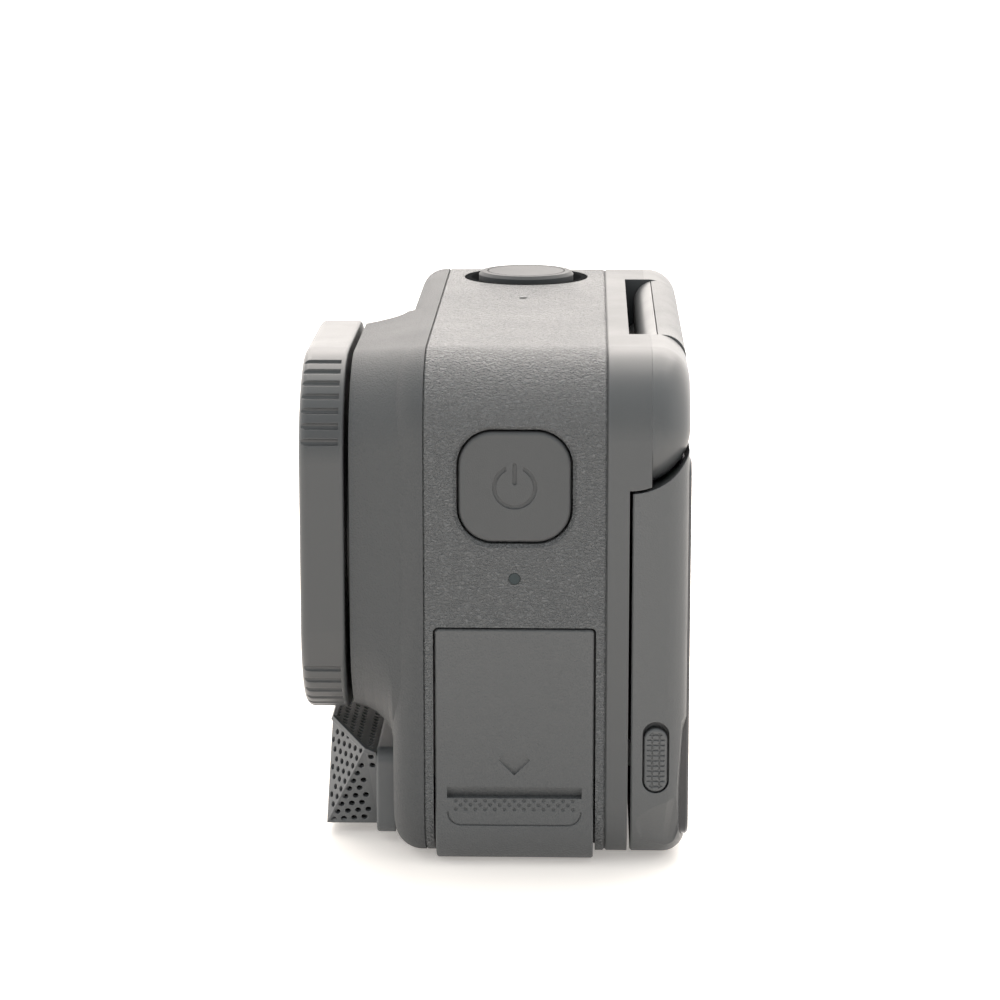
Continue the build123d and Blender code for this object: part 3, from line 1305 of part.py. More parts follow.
with BuildPart() as memory_card:
    with BuildSketch(Plane.XY.offset(card_foot + 0.45)):
        with Locations((-wall_inside + 6.9, 0)):
            Rectangle(13.4, 11.0)
    extrude(amount=0.8)
memory_card.part.label = "memory_card"
export_step(memory_card.part, "parts/memory_card.step")

# ---------------------------------------------------------------- boards inside
board_left = -wall_inside + sleeve_depth + 2.4
board_right = bay_plate_x - 0.6
board_front = 1.8
board_top = HEIGHT - WALL - 2.4

wide_foot = bay_foot + 3.4
wide_top = light_z - 4.0
narrow_right = button_board_x - 2
with BuildPart() as main_board:
    with BuildSketch(across(board_front + 1.0)):
        with Locations(((board_left + board_right) / 2, (wide_foot + wide_top) / 2)):
            Rectangle(board_right - board_left, wide_top - wide_foot)
        with Locations(((board_left + narrow_right - 3) / 2, (6.6 + board_top) / 2)):
            Rectangle(narrow_right - 3 - board_left, board_top - 6.6)
    extrude(amount=1.0)
main_board.part.label = "main_board"
export_step(main_board.part, "parts/main_board.step")

with BuildPart() as board_chips:
    with BuildSketch(across(board_front + 2.6)):
        with Locations((board_left + 9, board_top - 12)):
            RectangleRounded(13.0, 13.0, 0.5)
        with Locations((board_left + 8, 16.0)):
            RectangleRounded(9.0, 11.0, 0.5)
    extrude(amount=1.6)
board_chips.part.label = "board_chips"
export_step(board_chips.part, "parts/board_chips.step")

with BuildPart() as heat_spreader:
    with BuildSketch(across(frame_rear - 0.2)):
        with Locations(((board_left + board_right) / 2 - 0.8, (7.6 + board_top) / 2)):
            RectangleRounded(board_right - board_left - 5, board_top - 7.6, 1.5)
    extrude(amount=1.2)
    with BuildSketch(across(frame_rear - 1.4)):
        with Locations((board_left + 9, board_top - 12)):
            Rectangle(12.0, 12.0)
    extrude(amount=frame_rear - 1.4 - board_front - 2.65)
heat_spreader.part.label = "heat_spreader"
export_step(heat_spreader.part, "parts/heat_spreader.step")

with BuildPart() as speaker:
    with BuildSketch(Plane.XY.offset(WALL)):
        with Locations((-side + 11.5, -5.0)):
            RectangleRounded(9.0, 6.4, 1.0)
    extrude(amount=3.4)
speaker.part.label = "speaker"
export_step(speaker.part, "parts/speaker.step")

# ---------------------------------------------------------------- mounting plate
with BuildPart() as mount_plate:
    with BuildSketch(Plane.XY):
        RectangleRounded(MOUNT_LENGTH, MOUNT_WIDTH, 2.0 - FIT)
        with GridLocations(MOUNT_LENGTH - 5, MOUNT_WIDTH - 5, 2, 2):
            Circle(0.7, mode=Mode.SUBTRACT)
        with GridLocations(MOUNT_LENGTH - 2 * NOTCH, 1, 2, 1):
            Rectangle(NOTCH, 5.0, mode=Mode.SUBTRACT)
    extrude(amount=MOUNT_THICKNESS - FIT)
    with BuildSketch(Plane.XY):
        with GridLocations(MOUNT_LENGTH - 5, MOUNT_WIDTH - 5, 2, 2):
            Circle(1.25)
    extrude(amount=0.65, mode=Mode.SUBTRACT)
mount_plate.part.label = "mount_plate"
export_step(mount_plate.part, "parts/mount_plate.step")

with BuildPart() as mount_screws:
    with BuildSketch(Plane.XY.offset(0.05)):
        with GridLocations(MOUNT_LENGTH - 5, MOUNT_WIDTH - 5, 2, 2):
            Circle(1.2)
    extrude(amount=0.6)
    with BuildSketch(Plane.XY.offset(0.65)):
        with GridLocations(MOUNT_LENGTH - 5, MOUNT_WIDTH - 5, 2, 2):
            Circle(0.6)
    extrude(amount=2.4)
    with BuildSketch(Plane.XY):
        with GridLocations(MOUNT_LENGTH - 5, MOUNT_WIDTH - 5, 2, 2):
            RegularPolygon(0.55, 6)
    extrude(amount=0.4, mode=Mode.SUBTRACT)
mount_screws.part.label = "mount_screws"
export_step(mount_screws.part, "parts/mount_screws.step")

with BuildPart() as mount_magnets:
    with BuildSketch(Plane.XY.offset(WALL)):
        with GridLocations(14.0, 1, 2, 1):
            Circle(4.0)
    extrude(amount=1.6)
mount_magnets.part.label = "mount_magnets"
export_step(mount_magnets.part, "parts/mount_magnets.step")
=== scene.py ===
"""Looks of the action camera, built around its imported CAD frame."""

import math

import bmesh
import bpy
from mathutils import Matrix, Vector


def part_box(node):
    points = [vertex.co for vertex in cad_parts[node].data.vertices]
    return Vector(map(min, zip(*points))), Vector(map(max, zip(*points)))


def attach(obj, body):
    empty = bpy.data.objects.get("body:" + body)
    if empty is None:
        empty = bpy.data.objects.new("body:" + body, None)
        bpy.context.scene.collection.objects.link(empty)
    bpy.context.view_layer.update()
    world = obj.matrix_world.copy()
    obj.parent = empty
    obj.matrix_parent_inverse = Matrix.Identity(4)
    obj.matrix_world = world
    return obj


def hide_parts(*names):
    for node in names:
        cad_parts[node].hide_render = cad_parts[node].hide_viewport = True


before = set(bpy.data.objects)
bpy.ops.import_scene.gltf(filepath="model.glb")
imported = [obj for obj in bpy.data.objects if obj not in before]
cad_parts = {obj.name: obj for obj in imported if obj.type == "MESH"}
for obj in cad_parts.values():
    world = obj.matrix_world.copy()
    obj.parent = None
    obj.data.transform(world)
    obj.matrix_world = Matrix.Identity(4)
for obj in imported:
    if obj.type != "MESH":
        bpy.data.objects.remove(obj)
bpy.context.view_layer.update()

# Studio: a pale, slightly glowing floor that fades to a white backdrop, one big soft light
# overhead and two small ones, and the view onto the side with the power button.
mm = 0.001


def put(tree, kind, sockets=None, **settings):
    """Adds a node to a tree. Each socket gets a plain value or the output that feeds it."""
    node = tree.nodes.new(kind)
    for name, value in settings.items():
        setattr(node, name, value)
    for name, value in (sockets or {}).items():
        if isinstance(value, bpy.types.NodeSocket):
            tree.links.new(value, node.inputs[name])
        else:
            node.inputs[name].default_value = value
    return node


def material(name):
    """An empty node material: its tree and its output node."""
    made = bpy.data.materials.new(name)
    made.use_nodes = True
    made.node_tree.nodes.clear()
    return made, made.node_tree, made.node_tree.nodes.new("ShaderNodeOutputMaterial")


bpy.context.scene.view_settings.view_transform = "Standard"

backdrop = bpy.data.worlds.new("white_studio")
backdrop.use_nodes = True
bpy.context.scene.world = backdrop
sky = backdrop.node_tree
sky.nodes.clear()
direction = put(sky, "ShaderNodeTexCoord")
split = put(sky, "ShaderNodeSeparateXYZ", {0: direction.outputs["Generated"]})
glow = put(
    sky,
    "ShaderNodeMapRange",
    {"Value": split.outputs["X"], "From Min": -1.0, "From Max": 1.0, "To Min": 2.9, "To Max": 0.56},
)
side = put(
    sky, "ShaderNodeMapRange", {"Value": split.outputs["X"], "From Min": -0.6, "From Max": 0.6}
)
hue = put(
    sky,
    "ShaderNodeMix",
    {0: side.outputs["Result"], 6: (1.0, 0.945, 0.90, 1.0), 7: (0.93, 0.98, 1.0, 1.0)},
    data_type="RGBA",
)
white = put(
    sky,
    "ShaderNodeBackground",
    {"Color": hue.outputs[2], "Strength": glow.outputs["Result"]},
)
put(sky, "ShaderNodeOutputWorld", {"Surface": white.outputs[0]})

bpy.ops.mesh.primitive_circle_add(vertices=96, radius=3.0, fill_type="NGON")
floor = bpy.context.object
floor.name = "floor"
floor_paint, tree, end = material("pale_floor")
spot = put(tree, "ShaderNodeNewGeometry")
reach = put(tree, "ShaderNodeVectorMath", {0: spot.outputs["Position"]}, operation="LENGTH")
fade = put(
    tree,
    "ShaderNodeMapRange",
    {"Value": reach.outputs["Value"], "From Min": 0.09, "From Max": 0.60},
    interpolation_type="SMOOTHSTEP",
)
mottle = put(
    tree, "ShaderNodeTexNoise", {"Vector": spot.outputs["Position"], "Scale": 60.0, "Detail": 3.0}
)
gloss = put(
    tree,
    "ShaderNodeMapRange",
    {"Value": mottle.outputs["Fac"], "To Min": 0.30, "To Max": 0.38},
)
sheet = put(
    tree,
    "ShaderNodeBsdfPrincipled",
    {
        "Base Color": (0.80, 0.765, 0.73, 1.0),
        "Roughness": gloss.outputs["Result"],
        "Specular IOR Level": 0.35,
        "Emission Color": (1.0, 0.955, 0.91, 1.0),
        "Emission Strength": 0.32,
    },
)
beyond = put(tree, "ShaderNodeEmission", {"Color": (1.0, 0.99, 0.98, 1.0), "Strength": 2.3})
blend = put(
    tree, "ShaderNodeMixShader", {0: fade.outputs["Result"], 1: sheet.outputs[0], 2: beyond.outputs[0]}
)
tree.links.new(blend.outputs[0], end.inputs["Surface"])
floor.data.materials.append(floor_paint)

for name, place, aim, size, power in (
    ("overhead_softbox", (-0.30, 0.0, 0.52), (0.0, 0.0, 0.02), 0.70, 4.6),
    ("front_softbox", (0.55, -0.45, 0.35), (0.0, 0.0, 0.03), 0.40, 0.15),
    ("rear_softbox", (0.25, 0.60, 0.30), (0.0, 0.0, 0.03), 0.40, 0.25),
):
    lamp = bpy.data.lights.new(name, "AREA")
    lamp.size = size
    lamp.energy = power
    lamp.color = (1.0, 0.94, 0.89)
    holder = bpy.data.objects.new(name, lamp)
    holder.location = place
    holder.rotation_euler = (Vector(aim) - Vector(place)).to_track_quat("-Z", "Y").to_euler()
    bpy.context.scene.collection.objects.link(holder)

shot = bpy.data.cameras.new("studio_camera")
shot.lens = 115.98
shot.sensor_width = 36.0
shot.clip_start = 0.01
viewer = bpy.data.objects.new("studio_camera", shot)
viewer.location = (0.343616, 0.006896, 0.102322)
viewer.rotation_euler = (
    (Vector((0.0, -0.002394, 0.030011)) - viewer.location).to_track_quat("-Z", "Y").to_euler()
)
bpy.context.scene.collection.objects.link(viewer)
bpy.context.scene.camera = viewer


# Moulded shells: the housings, frame, caps and screen are glass-filled polycarbonate, moulded
# in tools whose etched faces leave a leather grain on the frame and a fine one elsewhere.
def group(name, takes, gives):
    """A shader node group with named inputs and outputs: its tree, entry and exit."""
    made = bpy.data.node_groups.new(name, "ShaderNodeTree")
    for label, kind, value in takes:
        socket = made.interface.new_socket(label, in_out="INPUT", socket_type=kind)
        if kind == "NodeSocketFloat":
            socket.default_value = value
    for label, kind in gives:
        made.interface.new_socket(label, in_out="OUTPUT", socket_type=kind)
    return made, put(made, "NodeGroupInput"), put(made, "NodeGroupOutput")


def leave(tree, output, **results):
    """Feeds the outputs of a group."""
    for label, socket in results.items():
        tree.links.new(socket, output.inputs[label.replace("_", " ")])


FLOAT, VECTOR = "NodeSocketFloat", "NodeSocketVector"

leather, start, stop = group(
    "leather_grain",
    [("Place", VECTOR, None), ("Size", FLOAT, 0.0005), ("Stretch", FLOAT, 0.7)],
    [("Height", FLOAT), ("Valley", FLOAT)],
)
inverse = put(leather, "ShaderNodeMath", {0: 1.0, 1: start.outputs["Size"]}, operation="DIVIDE")
stretched = put(
    leather, "ShaderNodeCombineXYZ", {"X": 1.0, "Y": start.outputs["Stretch"], "Z": 1.25}
)
shaped = put(
    leather,
    "ShaderNodeVectorMath",
    {0: start.outputs["Place"], 1: stretched.outputs[0]},
    operation="MULTIPLY",
)
sized = put(
    leather,
    "ShaderNodeVectorMath",
    {0: shaped.outputs[0], "Scale": inverse.outputs[0]},
    operation="SCALE",
)
wrinkle = put(
    leather,
    "ShaderNodeTexNoise",
    {"Vector": sized.outputs[0], "Scale": 1.0, "Detail": 2.5, "Roughness": 0.55, "Distortion": 0.9},
)
cells = put(
    leather,
    "ShaderNodeTexVoronoi",
    {"Vector": sized.outputs[0], "Scale": 1.1, "Smoothness": 0.6},
    feature="SMOOTH_F1",
)
folds = put(
    leather,
    "ShaderNodeMapRange",
    {"Value": wrinkle.outputs["Fac"], "From Min": 0.34, "From Max": 0.66},
    interpolation_type="SMOOTHSTEP",
)
pebbles = put(
    leather,
    "ShaderNodeMath",
    {0: cells.outputs["Distance"], 1: -0.45, 2: 0.45},
    operation="MULTIPLY_ADD",
)
relief = put(
    leather,
    "ShaderNodeMath",
    {0: folds.outputs["Result"], 1: pebbles.outputs[0]},
    operation="ADD",
)
# Painted shade: the mask that darkens the grain's valleys.
painted_valley_shade = put(
    leather,
    "ShaderNodeMapRange",
    {"Value": relief.outputs[0], "From Min": 0.1, "From Max": 0.7, "To Min": 1.0, "To Max": 0.0},
)
leave(leather, stop, Height=relief.outputs[0], Valley=painted_valley_shade.outputs["Result"])

fine, start, stop = group(
    "fine_grain",
    [("Place", VECTOR, None), ("Size", FLOAT, 0.0002)],
    [("Height", FLOAT), ("Mottle", FLOAT)],
)
inverse = put(fine, "ShaderNodeMath", {0: 1.0, 1: start.outputs["Size"]}, operation="DIVIDE")
sized = put(
    fine,
    "ShaderNodeVectorMath",
    {0: start.outputs["Place"], "Scale": inverse.outputs[0]},
    operation="SCALE",
)
speck = put(
    fine,
    "ShaderNodeTexNoise",
    {"Vector": sized.outputs[0], "Scale": 1.0, "Detail": 2.0, "Roughness": 0.6},
)
cloud = put(
    fine,
    "ShaderNodeTexNoise",
    {"Vector": start.outputs["Place"], "Scale": 90.0, "Detail": 4.0, "Roughness": 0.6},
)
leave(fine, stop, Height=speck.outputs["Fac"], Mottle=cloud.outputs["Fac"])

# Edge mask for a painted highlight that lightens rounded edges, broken up by noise, and the bevelled normal
# that rounds them in the shading.
edges, start, stop = group(
    "painted_edge_highlight_and_bevel",
    [("Place", VECTOR, None), ("Radius", FLOAT, 0.0002)],
    [("Edge", FLOAT), ("Soft Normal", VECTOR)],
)
rounded = put(edges, "ShaderNodeBevel", {"Radius": start.outputs["Radius"]}, samples=6)
flat = put(edges, "ShaderNodeNewGeometry")
along = put(
    edges,
    "ShaderNodeVectorMath",
    {0: rounded.outputs[0], 1: flat.outputs["Normal"]},
    operation="DOT_PRODUCT",
)
turned = put(
    edges,
    "ShaderNodeMapRange",
    {"Value": along.outputs["Value"], "From Min": 0.995, "From Max": 0.90},
)
patches = put(
    edges,
    "ShaderNodeTexNoise",
    {"Vector": start.outputs["Place"], "Scale": 420.0, "Detail": 3.0},
)
broken = put(
    edges,
    "ShaderNodeMath",
    {0: turned.outputs["Result"], 1: patches.outputs["Fac"]},
    operation="MULTIPLY",
)
leave(edges, stop, Edge=broken.outputs[0], Soft_Normal=rounded.outputs[0])

dust, start, stop = group(
    "dust",
    [("Place", VECTOR, None), ("Amount", FLOAT, 0.3)],
    [("Dust", FLOAT)],
)
facing = put(dust, "ShaderNodeNewGeometry")
parts = put(dust, "ShaderNodeSeparateXYZ", {0: facing.outputs["Normal"]})
upward = put(
    dust,
    "ShaderNodeMapRange",
    {"Value": parts.outputs["Z"], "From Min": 0.5, "From Max": 1.0},
)
specks = put(
    dust,
    "ShaderNodeTexNoise",
    {"Vector": start.outputs["Place"], "Scale": 2600.0, "Detail": 1.0},
)
sparse = put(
    dust,
    "ShaderNodeMapRange",
    {"Value": specks.outputs["Fac"], "From Min": 0.62, "From Max": 0.75},
)
settled = put(
    dust,
    "ShaderNodeMath",
    {0: upward.outputs["Result"], 1: sparse.outputs["Result"]},
    operation="MULTIPLY",
)
amount = put(
    dust,
    "ShaderNodeMath",
    {0: settled.outputs[0], 1: start.outputs["Amount"]},
    operation="MULTIPLY",
)
leave(dust, stop, Dust=amount.outputs[0])


def shade(colour, share):
    """A colour made lighter (share over 1) or darker (under 1)."""
    return tuple(min(1.0, c * share) for c in colour[:3]) + (1.0,)


def moulded(
    name,
    colour,
    roughness,
    grain=None,
    grain_size=0.0002,
    depth=0.01,
    radius=0.00015,
    edge_light=1.5,
    metallic=0.0,
    specular=0.5,
    sheen=0.0,
    dusty=0.0,
):
    """Material of a moulded, cast or pressed piece: grain, cloudy sheen, painted highlights along the edges
    and dust.
    """
    made, tree, end = material(name)
    place = put(tree, "ShaderNodeTexCoord").outputs["Object"]
    edge_highlight_and_bevel = put(tree, "ShaderNodeGroup", node_tree=edges)
    edge_highlight_and_bevel.inputs["Radius"].default_value = radius
    speckle = put(tree, "ShaderNodeGroup", node_tree=fine)
    speckle.inputs["Size"].default_value = grain_size
    for user in (edge_highlight_and_bevel, speckle):
        tree.links.new(place, user.inputs["Place"])
    height = speckle.outputs["Height"]
    tone = put(
        tree,
        "ShaderNodeMix",
        {6: shade(colour, 0.93), 7: shade(colour, 1.07), 0: speckle.outputs["Mottle"]},
        data_type="RGBA",
    ).outputs[2]
    if grain is not None:
        hide = put(tree, "ShaderNodeGroup", {"Place": place}, node_tree=grain)
        hide.inputs["Size"].default_value = grain_size
        height = hide.outputs["Height"]
        # Painted shade: the grain's valleys are darkened to 0.72 of the colour.
        tone = put(
            tree,
            "ShaderNodeMix",
            {0: hide.outputs["Valley"], 6: tone, 7: shade(colour, 0.72)},
            data_type="RGBA",
        ).outputs[2]
    # Painted highlight: the edges are lightened to edge_light times the colour.
    tone = put(
        tree,
        "ShaderNodeMix",
        {0: edge_highlight_and_bevel.outputs["Edge"], 6: tone, 7: shade(colour, edge_light)},
        data_type="RGBA",
    ).outputs[2]
    if dusty:
        film = put(tree, "ShaderNodeGroup", {"Place": place}, node_tree=dust)
        film.inputs["Amount"].default_value = dusty
        tone = put(
            tree,
            "ShaderNodeMix",
            {0: film.outputs["Dust"], 6: tone, 7: (0.45, 0.43, 0.40, 1.0)},
            data_type="RGBA",
        ).outputs[2]
    sheen_map = put(
        tree,
        "ShaderNodeMapRange",
        {
            "Value": speckle.outputs["Mottle"],
            "From Min": 0.3,
            "From Max": 0.7,
            "To Min": roughness - 0.05,
            "To Max": roughness + 0.05,
        },
    )
    relief = put(
        tree,
        "ShaderNodeBump",
        {"Height": height, "Distance": depth * mm, "Normal": edge_highlight_and_bevel.outputs["Soft Normal"]},
    )
    skin = put(
        tree,
        "ShaderNodeBsdfPrincipled",
        {
            "Base Color": tone,
            "Roughness": sheen_map.outputs["Result"],
            "Normal": relief.outputs[0],
            "Metallic": metallic,
            "Specular IOR Level": specular,
            "Sheen Weight": sheen,
        },
    )
    tree.links.new(skin.outputs[0], end.inputs["Surface"])
    return made


def dress(paint, *nodes):
    """Gives a material to CAD nodes."""
    for node in nodes:
        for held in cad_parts[node].material_slots:
            held.material = paint


CHARCOAL = (0.068, 0.071, 0.073, 1.0)

dress(
    moulded(
        "leather_grained_frame",
        shade(CHARCOAL, 1.42),
        0.40,
        grain=leather,
        grain_size=0.00028,
        depth=0.20,
        edge_light=1.3,
        sheen=0.06,
        dusty=0.15,
    ),
    "mid_frame",
)
dress(
    moulded("fine_grained_front", shade(CHARCOAL, 0.86), 0.58, grain_size=0.00020, depth=0.09, specular=0.35),
    "front_housing",
)
dress(
    moulded("smooth_band", shade(CHARCOAL, 0.90), 0.44, grain_size=0.00009, depth=0.004),
    "rear_housing",
)
dress(
    moulded("smooth_caps", shade(CHARCOAL, 0.98), 0.40, grain_size=0.00009, depth=0.003),
    "left_ear_cap",
    "right_ear_cap",
)

# Flip screen: a moulded tray with a thumb scoop, a separate cover over its hinge bar and a
# sprung slide with a knurled face; the display sits behind one pane of toughened glass.
dress(
    moulded("screen_tray", shade(CHARCOAL, 1.08), 0.44, grain_size=0.00018, depth=0.035),
    "screen_frame",
)
dress(
    moulded("hinge_bar", shade(CHARCOAL, 1.1), 0.34, grain_size=0.00012, depth=0.003),
    "hinge_cover",
)
dress(
    moulded("latch_slide", shade(CHARCOAL, 1.12), 0.48, grain_size=0.0001, depth=0.006),
    "screen_latch",
)


def pane(name, colour, roughness, coat, tint, metallic=0.0):
    """Dark coated glass backed with black: faint smears in the gloss and a tinted clear coat."""
    made, tree, end = material(name)
    place = put(tree, "ShaderNodeTexCoord").outputs["Object"]
    smear = put(
        tree,
        "ShaderNodeTexNoise",
        {"Vector": place, "Scale": 110.0, "Detail": 5.0, "Roughness": 0.65, "Distortion": 1.2},
    )
    film = put(
        tree,
        "ShaderNodeMapRange",
        {
            "Value": smear.outputs["Fac"],
            "From Min": 0.35,
            "From Max": 0.75,
            "To Min": roughness,
            "To Max": roughness + 0.10,
        },
    )
    tone = put(
        tree,
        "ShaderNodeMix",
        {0: smear.outputs["Fac"], 6: colour, 7: shade(colour, 1.6)},
        data_type="RGBA",
    )
    skin = put(
        tree,
        "ShaderNodeBsdfPrincipled",
        {
            "Base Color": tone.outputs[2],
            "Roughness": film.outputs["Result"],
            "Metallic": metallic,
            "Coat Weight": coat,
            "Coat Roughness": 0.03,
            "Coat Tint": tint,
            "Specular IOR Level": 0.1,
        },
    )
    tree.links.new(skin.outputs[0], end.inputs["Surface"])
    return made


dress(
    pane("screen_pane", (0.012, 0.012, 0.014, 1.0), 0.06, 1.0, (0.90, 0.94, 1.0, 1.0)),
    "screen_glass",
)
dress(
    pane("display_stack", (0.03, 0.031, 0.036, 1.0), 0.25, 0.4, (1.0, 1.0, 1.0, 1.0)),
    "screen_panel",
    "front_display",
)
dress(
    pane("front_pane", (0.010, 0.010, 0.012, 1.0), 0.07, 1.0, (0.92, 0.94, 1.0, 1.0)),
    "front_window",
)

# Lens: a black anodised barrel with coated glass elements, and the square guard with knurled
# corners that twists onto it, which carries its own flat coated glass.
dress(
    moulded("guard_rim", shade(CHARCOAL, 0.74), 0.34, grain_size=0.0001, depth=0.006),
    "lens_guard",
)
dress(
    moulded(
        "anodised_barrel",
        (0.018, 0.018, 0.019, 1.0),
        0.42,
        grain_size=0.00006,
        depth=0.003,
        metallic=0.6,
        edge_light=2.4,
    ),
    "lens_barrel",
    "lens_retainer",
)


def coated_glass(name, tint, ior, coat_tint):
    """Clear glass with an interference coating that shows as a coloured gloss."""
    made, tree, end = material(name)
    place = put(tree, "ShaderNodeTexCoord").outputs["Object"]
    smear = put(
        tree,
        "ShaderNodeTexNoise",
        {"Vector": place, "Scale": 160.0, "Detail": 4.0, "Roughness": 0.6},
    )
    gloss = put(
        tree,
        "ShaderNodeMapRange",
        {"Value": smear.outputs["Fac"], "From Min": 0.4, "From Max": 0.8, "To Min": 0.0, "To Max": 0.04},
    )
    tone = put(
        tree,
        "ShaderNodeMix",
        {0: smear.outputs["Fac"], 6: tint, 7: shade(tint, 0.96)},
        data_type="RGBA",
    )
    clear = put(
        tree,
        "ShaderNodeBsdfPrincipled",
        {
            "Base Color": tone.outputs[2],
            "Roughness": gloss.outputs["Result"],
            "IOR": ior,
            "Transmission Weight": 1.0,
            "Coat Weight": 0.12,
            "Coat Roughness": 0.02,
            "Coat Tint": coat_tint,
        },
    )
    tree.links.new(clear.outputs[0], end.inputs["Surface"])
    return made


dress(
    coated_glass("guard_pane", (0.84, 0.87, 0.89, 1.0), 1.34, (0.90, 0.95, 1.0, 1.0)),
    "guard_glass",
)
dress(
    coated_glass("front_element", (0.42, 0.44, 0.52, 1.0), 1.50, (0.72, 0.80, 1.0, 1.0)),
    "front_lens",
)
dress(
    coated_glass("inner_elements", (0.34, 0.40, 0.40, 1.0), 1.50, (0.75, 1.0, 0.85, 1.0)),
    "inner_lenses",
)
dress(
    pane("image_sensor", (0.020, 0.026, 0.030, 1.0), 0.18, 0.8, (0.8, 1.0, 0.9, 1.0)),
    "image_sensor",
)

# Wind guard: a moulded flange that clips on under the lens, a thin faceted cover pierced all
# over with small round holes, and a block of open-cell foam that fills the cover. Two blanks
# close the ends of the flange's window.
guard_paint = moulded("wind_guard_shell", shade(CHARCOAL, 1.5), 0.46, grain_size=0.0001, depth=0.004)
dress(guard_paint, "wind_guard_frame")
dress(
    moulded(
        "open_cell_foam",
        (0.012, 0.012, 0.013, 1.0),
        0.85,
        grain=leather,
        grain_size=0.0004,
        depth=0.12,
        radius=0.0004,
        specular=0.2,
    ),
    "wind_foam",
)

HOLE_PITCH = 1.07 * mm
HOLE_RADIUS = 0.31 * mm
HOLE_SIDES = 12
HOLE_MARGIN = 0.02 * mm
SHELL_THICKNESS = 0.45 * mm
FRONT_LEAN = 0.5 * mm
TOP_SETBACK = 5.8 * mm
FOOT_SETBACK = 3.1 * mm
SHOULDER_DEPTH = 4.2 * mm
SHOULDER_DROP = 1.8 * mm
BLANK_SIZE = (5.0 * mm, 0.3 * mm, 6.2 * mm)
BLANK_SETBACK = 4.0 * mm
BLANK_DEPTH = 0.35 * mm
BLANK_HEIGHT = 5.4 * mm


def pierced_facet(target, corners):
    """Adds one flat facet with round holes in a honeycomb pattern, cut off at its corners."""
    centre = sum(corners, Vector()) / len(corners)
    normal = (corners[1] - corners[0]).cross(corners[2] - corners[1]).normalized()
    across = (corners[1] - corners[0]).normalized()
    up = normal.cross(across)
    piece = bmesh.new()
    local = [((c - centre).dot(across), (c - centre).dot(up)) for c in corners]
    left, right = min(p[0] for p in local), max(p[0] for p in local)
    low, high = min(p[1] for p in local), max(p[1] for p in local)
    sides = []
    for first, second in zip(local, local[1:] + local[:1]):
        run = Vector((second[0] - first[0], second[1] - first[1])).normalized()
        sides.append((Vector(first), Vector((-run.y, run.x))))

    def depth_inside(x, y):
        return min((Vector((x, y)) - point).dot(inward) for point, inward in sides)

    turns = [2 * math.pi * step / HOLE_SIDES for step in range(HOLE_SIDES)]
    row_gap = HOLE_PITCH * math.sqrt(3) / 2
    half = HOLE_PITCH / 2
    cell_corner = HOLE_PITCH / math.sqrt(3)
    for row in range(int((high - low) / row_gap) + 3):
        y = low + (row - 0.5) * row_gap
        for column in range(int((right - left) / HOLE_PITCH) + 3):
            x = left + (column - 0.5 + 0.5 * (row % 2)) * HOLE_PITCH
            inside = depth_inside(x, y)
            if inside < -cell_corner:
                continue
            rim = []
            for angle in turns:
                turn = (angle + math.pi / 6) % (math.pi / 3) - math.pi / 6
                size = half / math.cos(turn)
                rim.append(piece.verts.new((x + size * math.cos(angle), y + size * math.sin(angle), 0.0)))
            if inside < HOLE_RADIUS + HOLE_MARGIN:
                piece.faces.new(rim)
                continue
            hole = []
            for angle in turns:
                point = (x + HOLE_RADIUS * math.cos(angle), y + HOLE_RADIUS * math.sin(angle), 0.0)
                hole.append(piece.verts.new(point))
            for step in range(HOLE_SIDES):
                following = (step + 1) % HOLE_SIDES
                piece.faces.new((rim[step], rim[following], hole[following], hole[step]))
    bmesh.ops.remove_doubles(piece, verts=piece.verts, dist=0.01 * mm)
    for point, inward in sides:
        geometry = piece.verts[:] + piece.edges[:] + piece.faces[:]
        bmesh.ops.bisect_plane(
            piece,
            geom=geometry,
            plane_co=(point.x, point.y, 0.0),
            plane_no=(-inward.x, -inward.y, 0.0),
            clear_outer=True,
        )
    piece.verts.index_update()
    placed = [target.verts.new(centre + across * v.co.x + up * v.co.y) for v in piece.verts]
    for face in piece.faces:
        points = [placed[v.index] for v in face.verts]
        made = target.faces.new(points)
        made.normal_update()
        if made.normal.dot(normal) < 0:
            made.normal_flip()
    piece.free()


cover_low, cover_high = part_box("wind_guard_cover")
middle = (cover_low.x + cover_high.x) / 2
reach = (cover_high.x - cover_low.x) / 2
shoulder_y = cover_low.y + SHOULDER_DEPTH
shoulder_z = cover_high.z - SHOULDER_DROP
rear_z = shoulder_z - SHOULDER_DROP * (cover_high.y - shoulder_y) / SHOULDER_DEPTH


def pair(spread, y, z):
    """The left and right corner points at one depth and height."""
    return [Vector((middle - spread, y, z)), Vector((middle + spread, y, z))]


top = pair(reach - TOP_SETBACK, cover_low.y + FRONT_LEAN, cover_high.z)
foot = pair(reach - FOOT_SETBACK, cover_low.y, cover_low.z)
shoulder = pair(reach, shoulder_y, shoulder_z)
rear_top = pair(reach, cover_high.y, rear_z)
rear_foot = pair(reach - FOOT_SETBACK, cover_high.y, cover_low.z)
skin = bmesh.new()
facets = [
    [foot[0], foot[1], top[1], top[0]],
    [top[0], top[1], shoulder[1], shoulder[0]],
    [shoulder[0], shoulder[1], rear_top[1], rear_top[0]],
    [rear_foot[0], rear_foot[1], foot[1], foot[0]],
    [foot[1], shoulder[1], top[1]],
    [shoulder[1], foot[1], rear_foot[1]],
    [shoulder[1], rear_foot[1], rear_top[1]],
    [top[0], shoulder[0], foot[0]],
    [rear_foot[0], foot[0], shoulder[0]],
    [rear_top[0], rear_foot[0], shoulder[0]],
]
for corners in facets:
    pierced_facet(skin, corners)
bmesh.ops.remove_doubles(skin, verts=skin.verts, dist=0.005 * mm)
cover_mesh = bpy.data.meshes.new("wind_guard_mesh")
skin.to_mesh(cover_mesh)
skin.free()
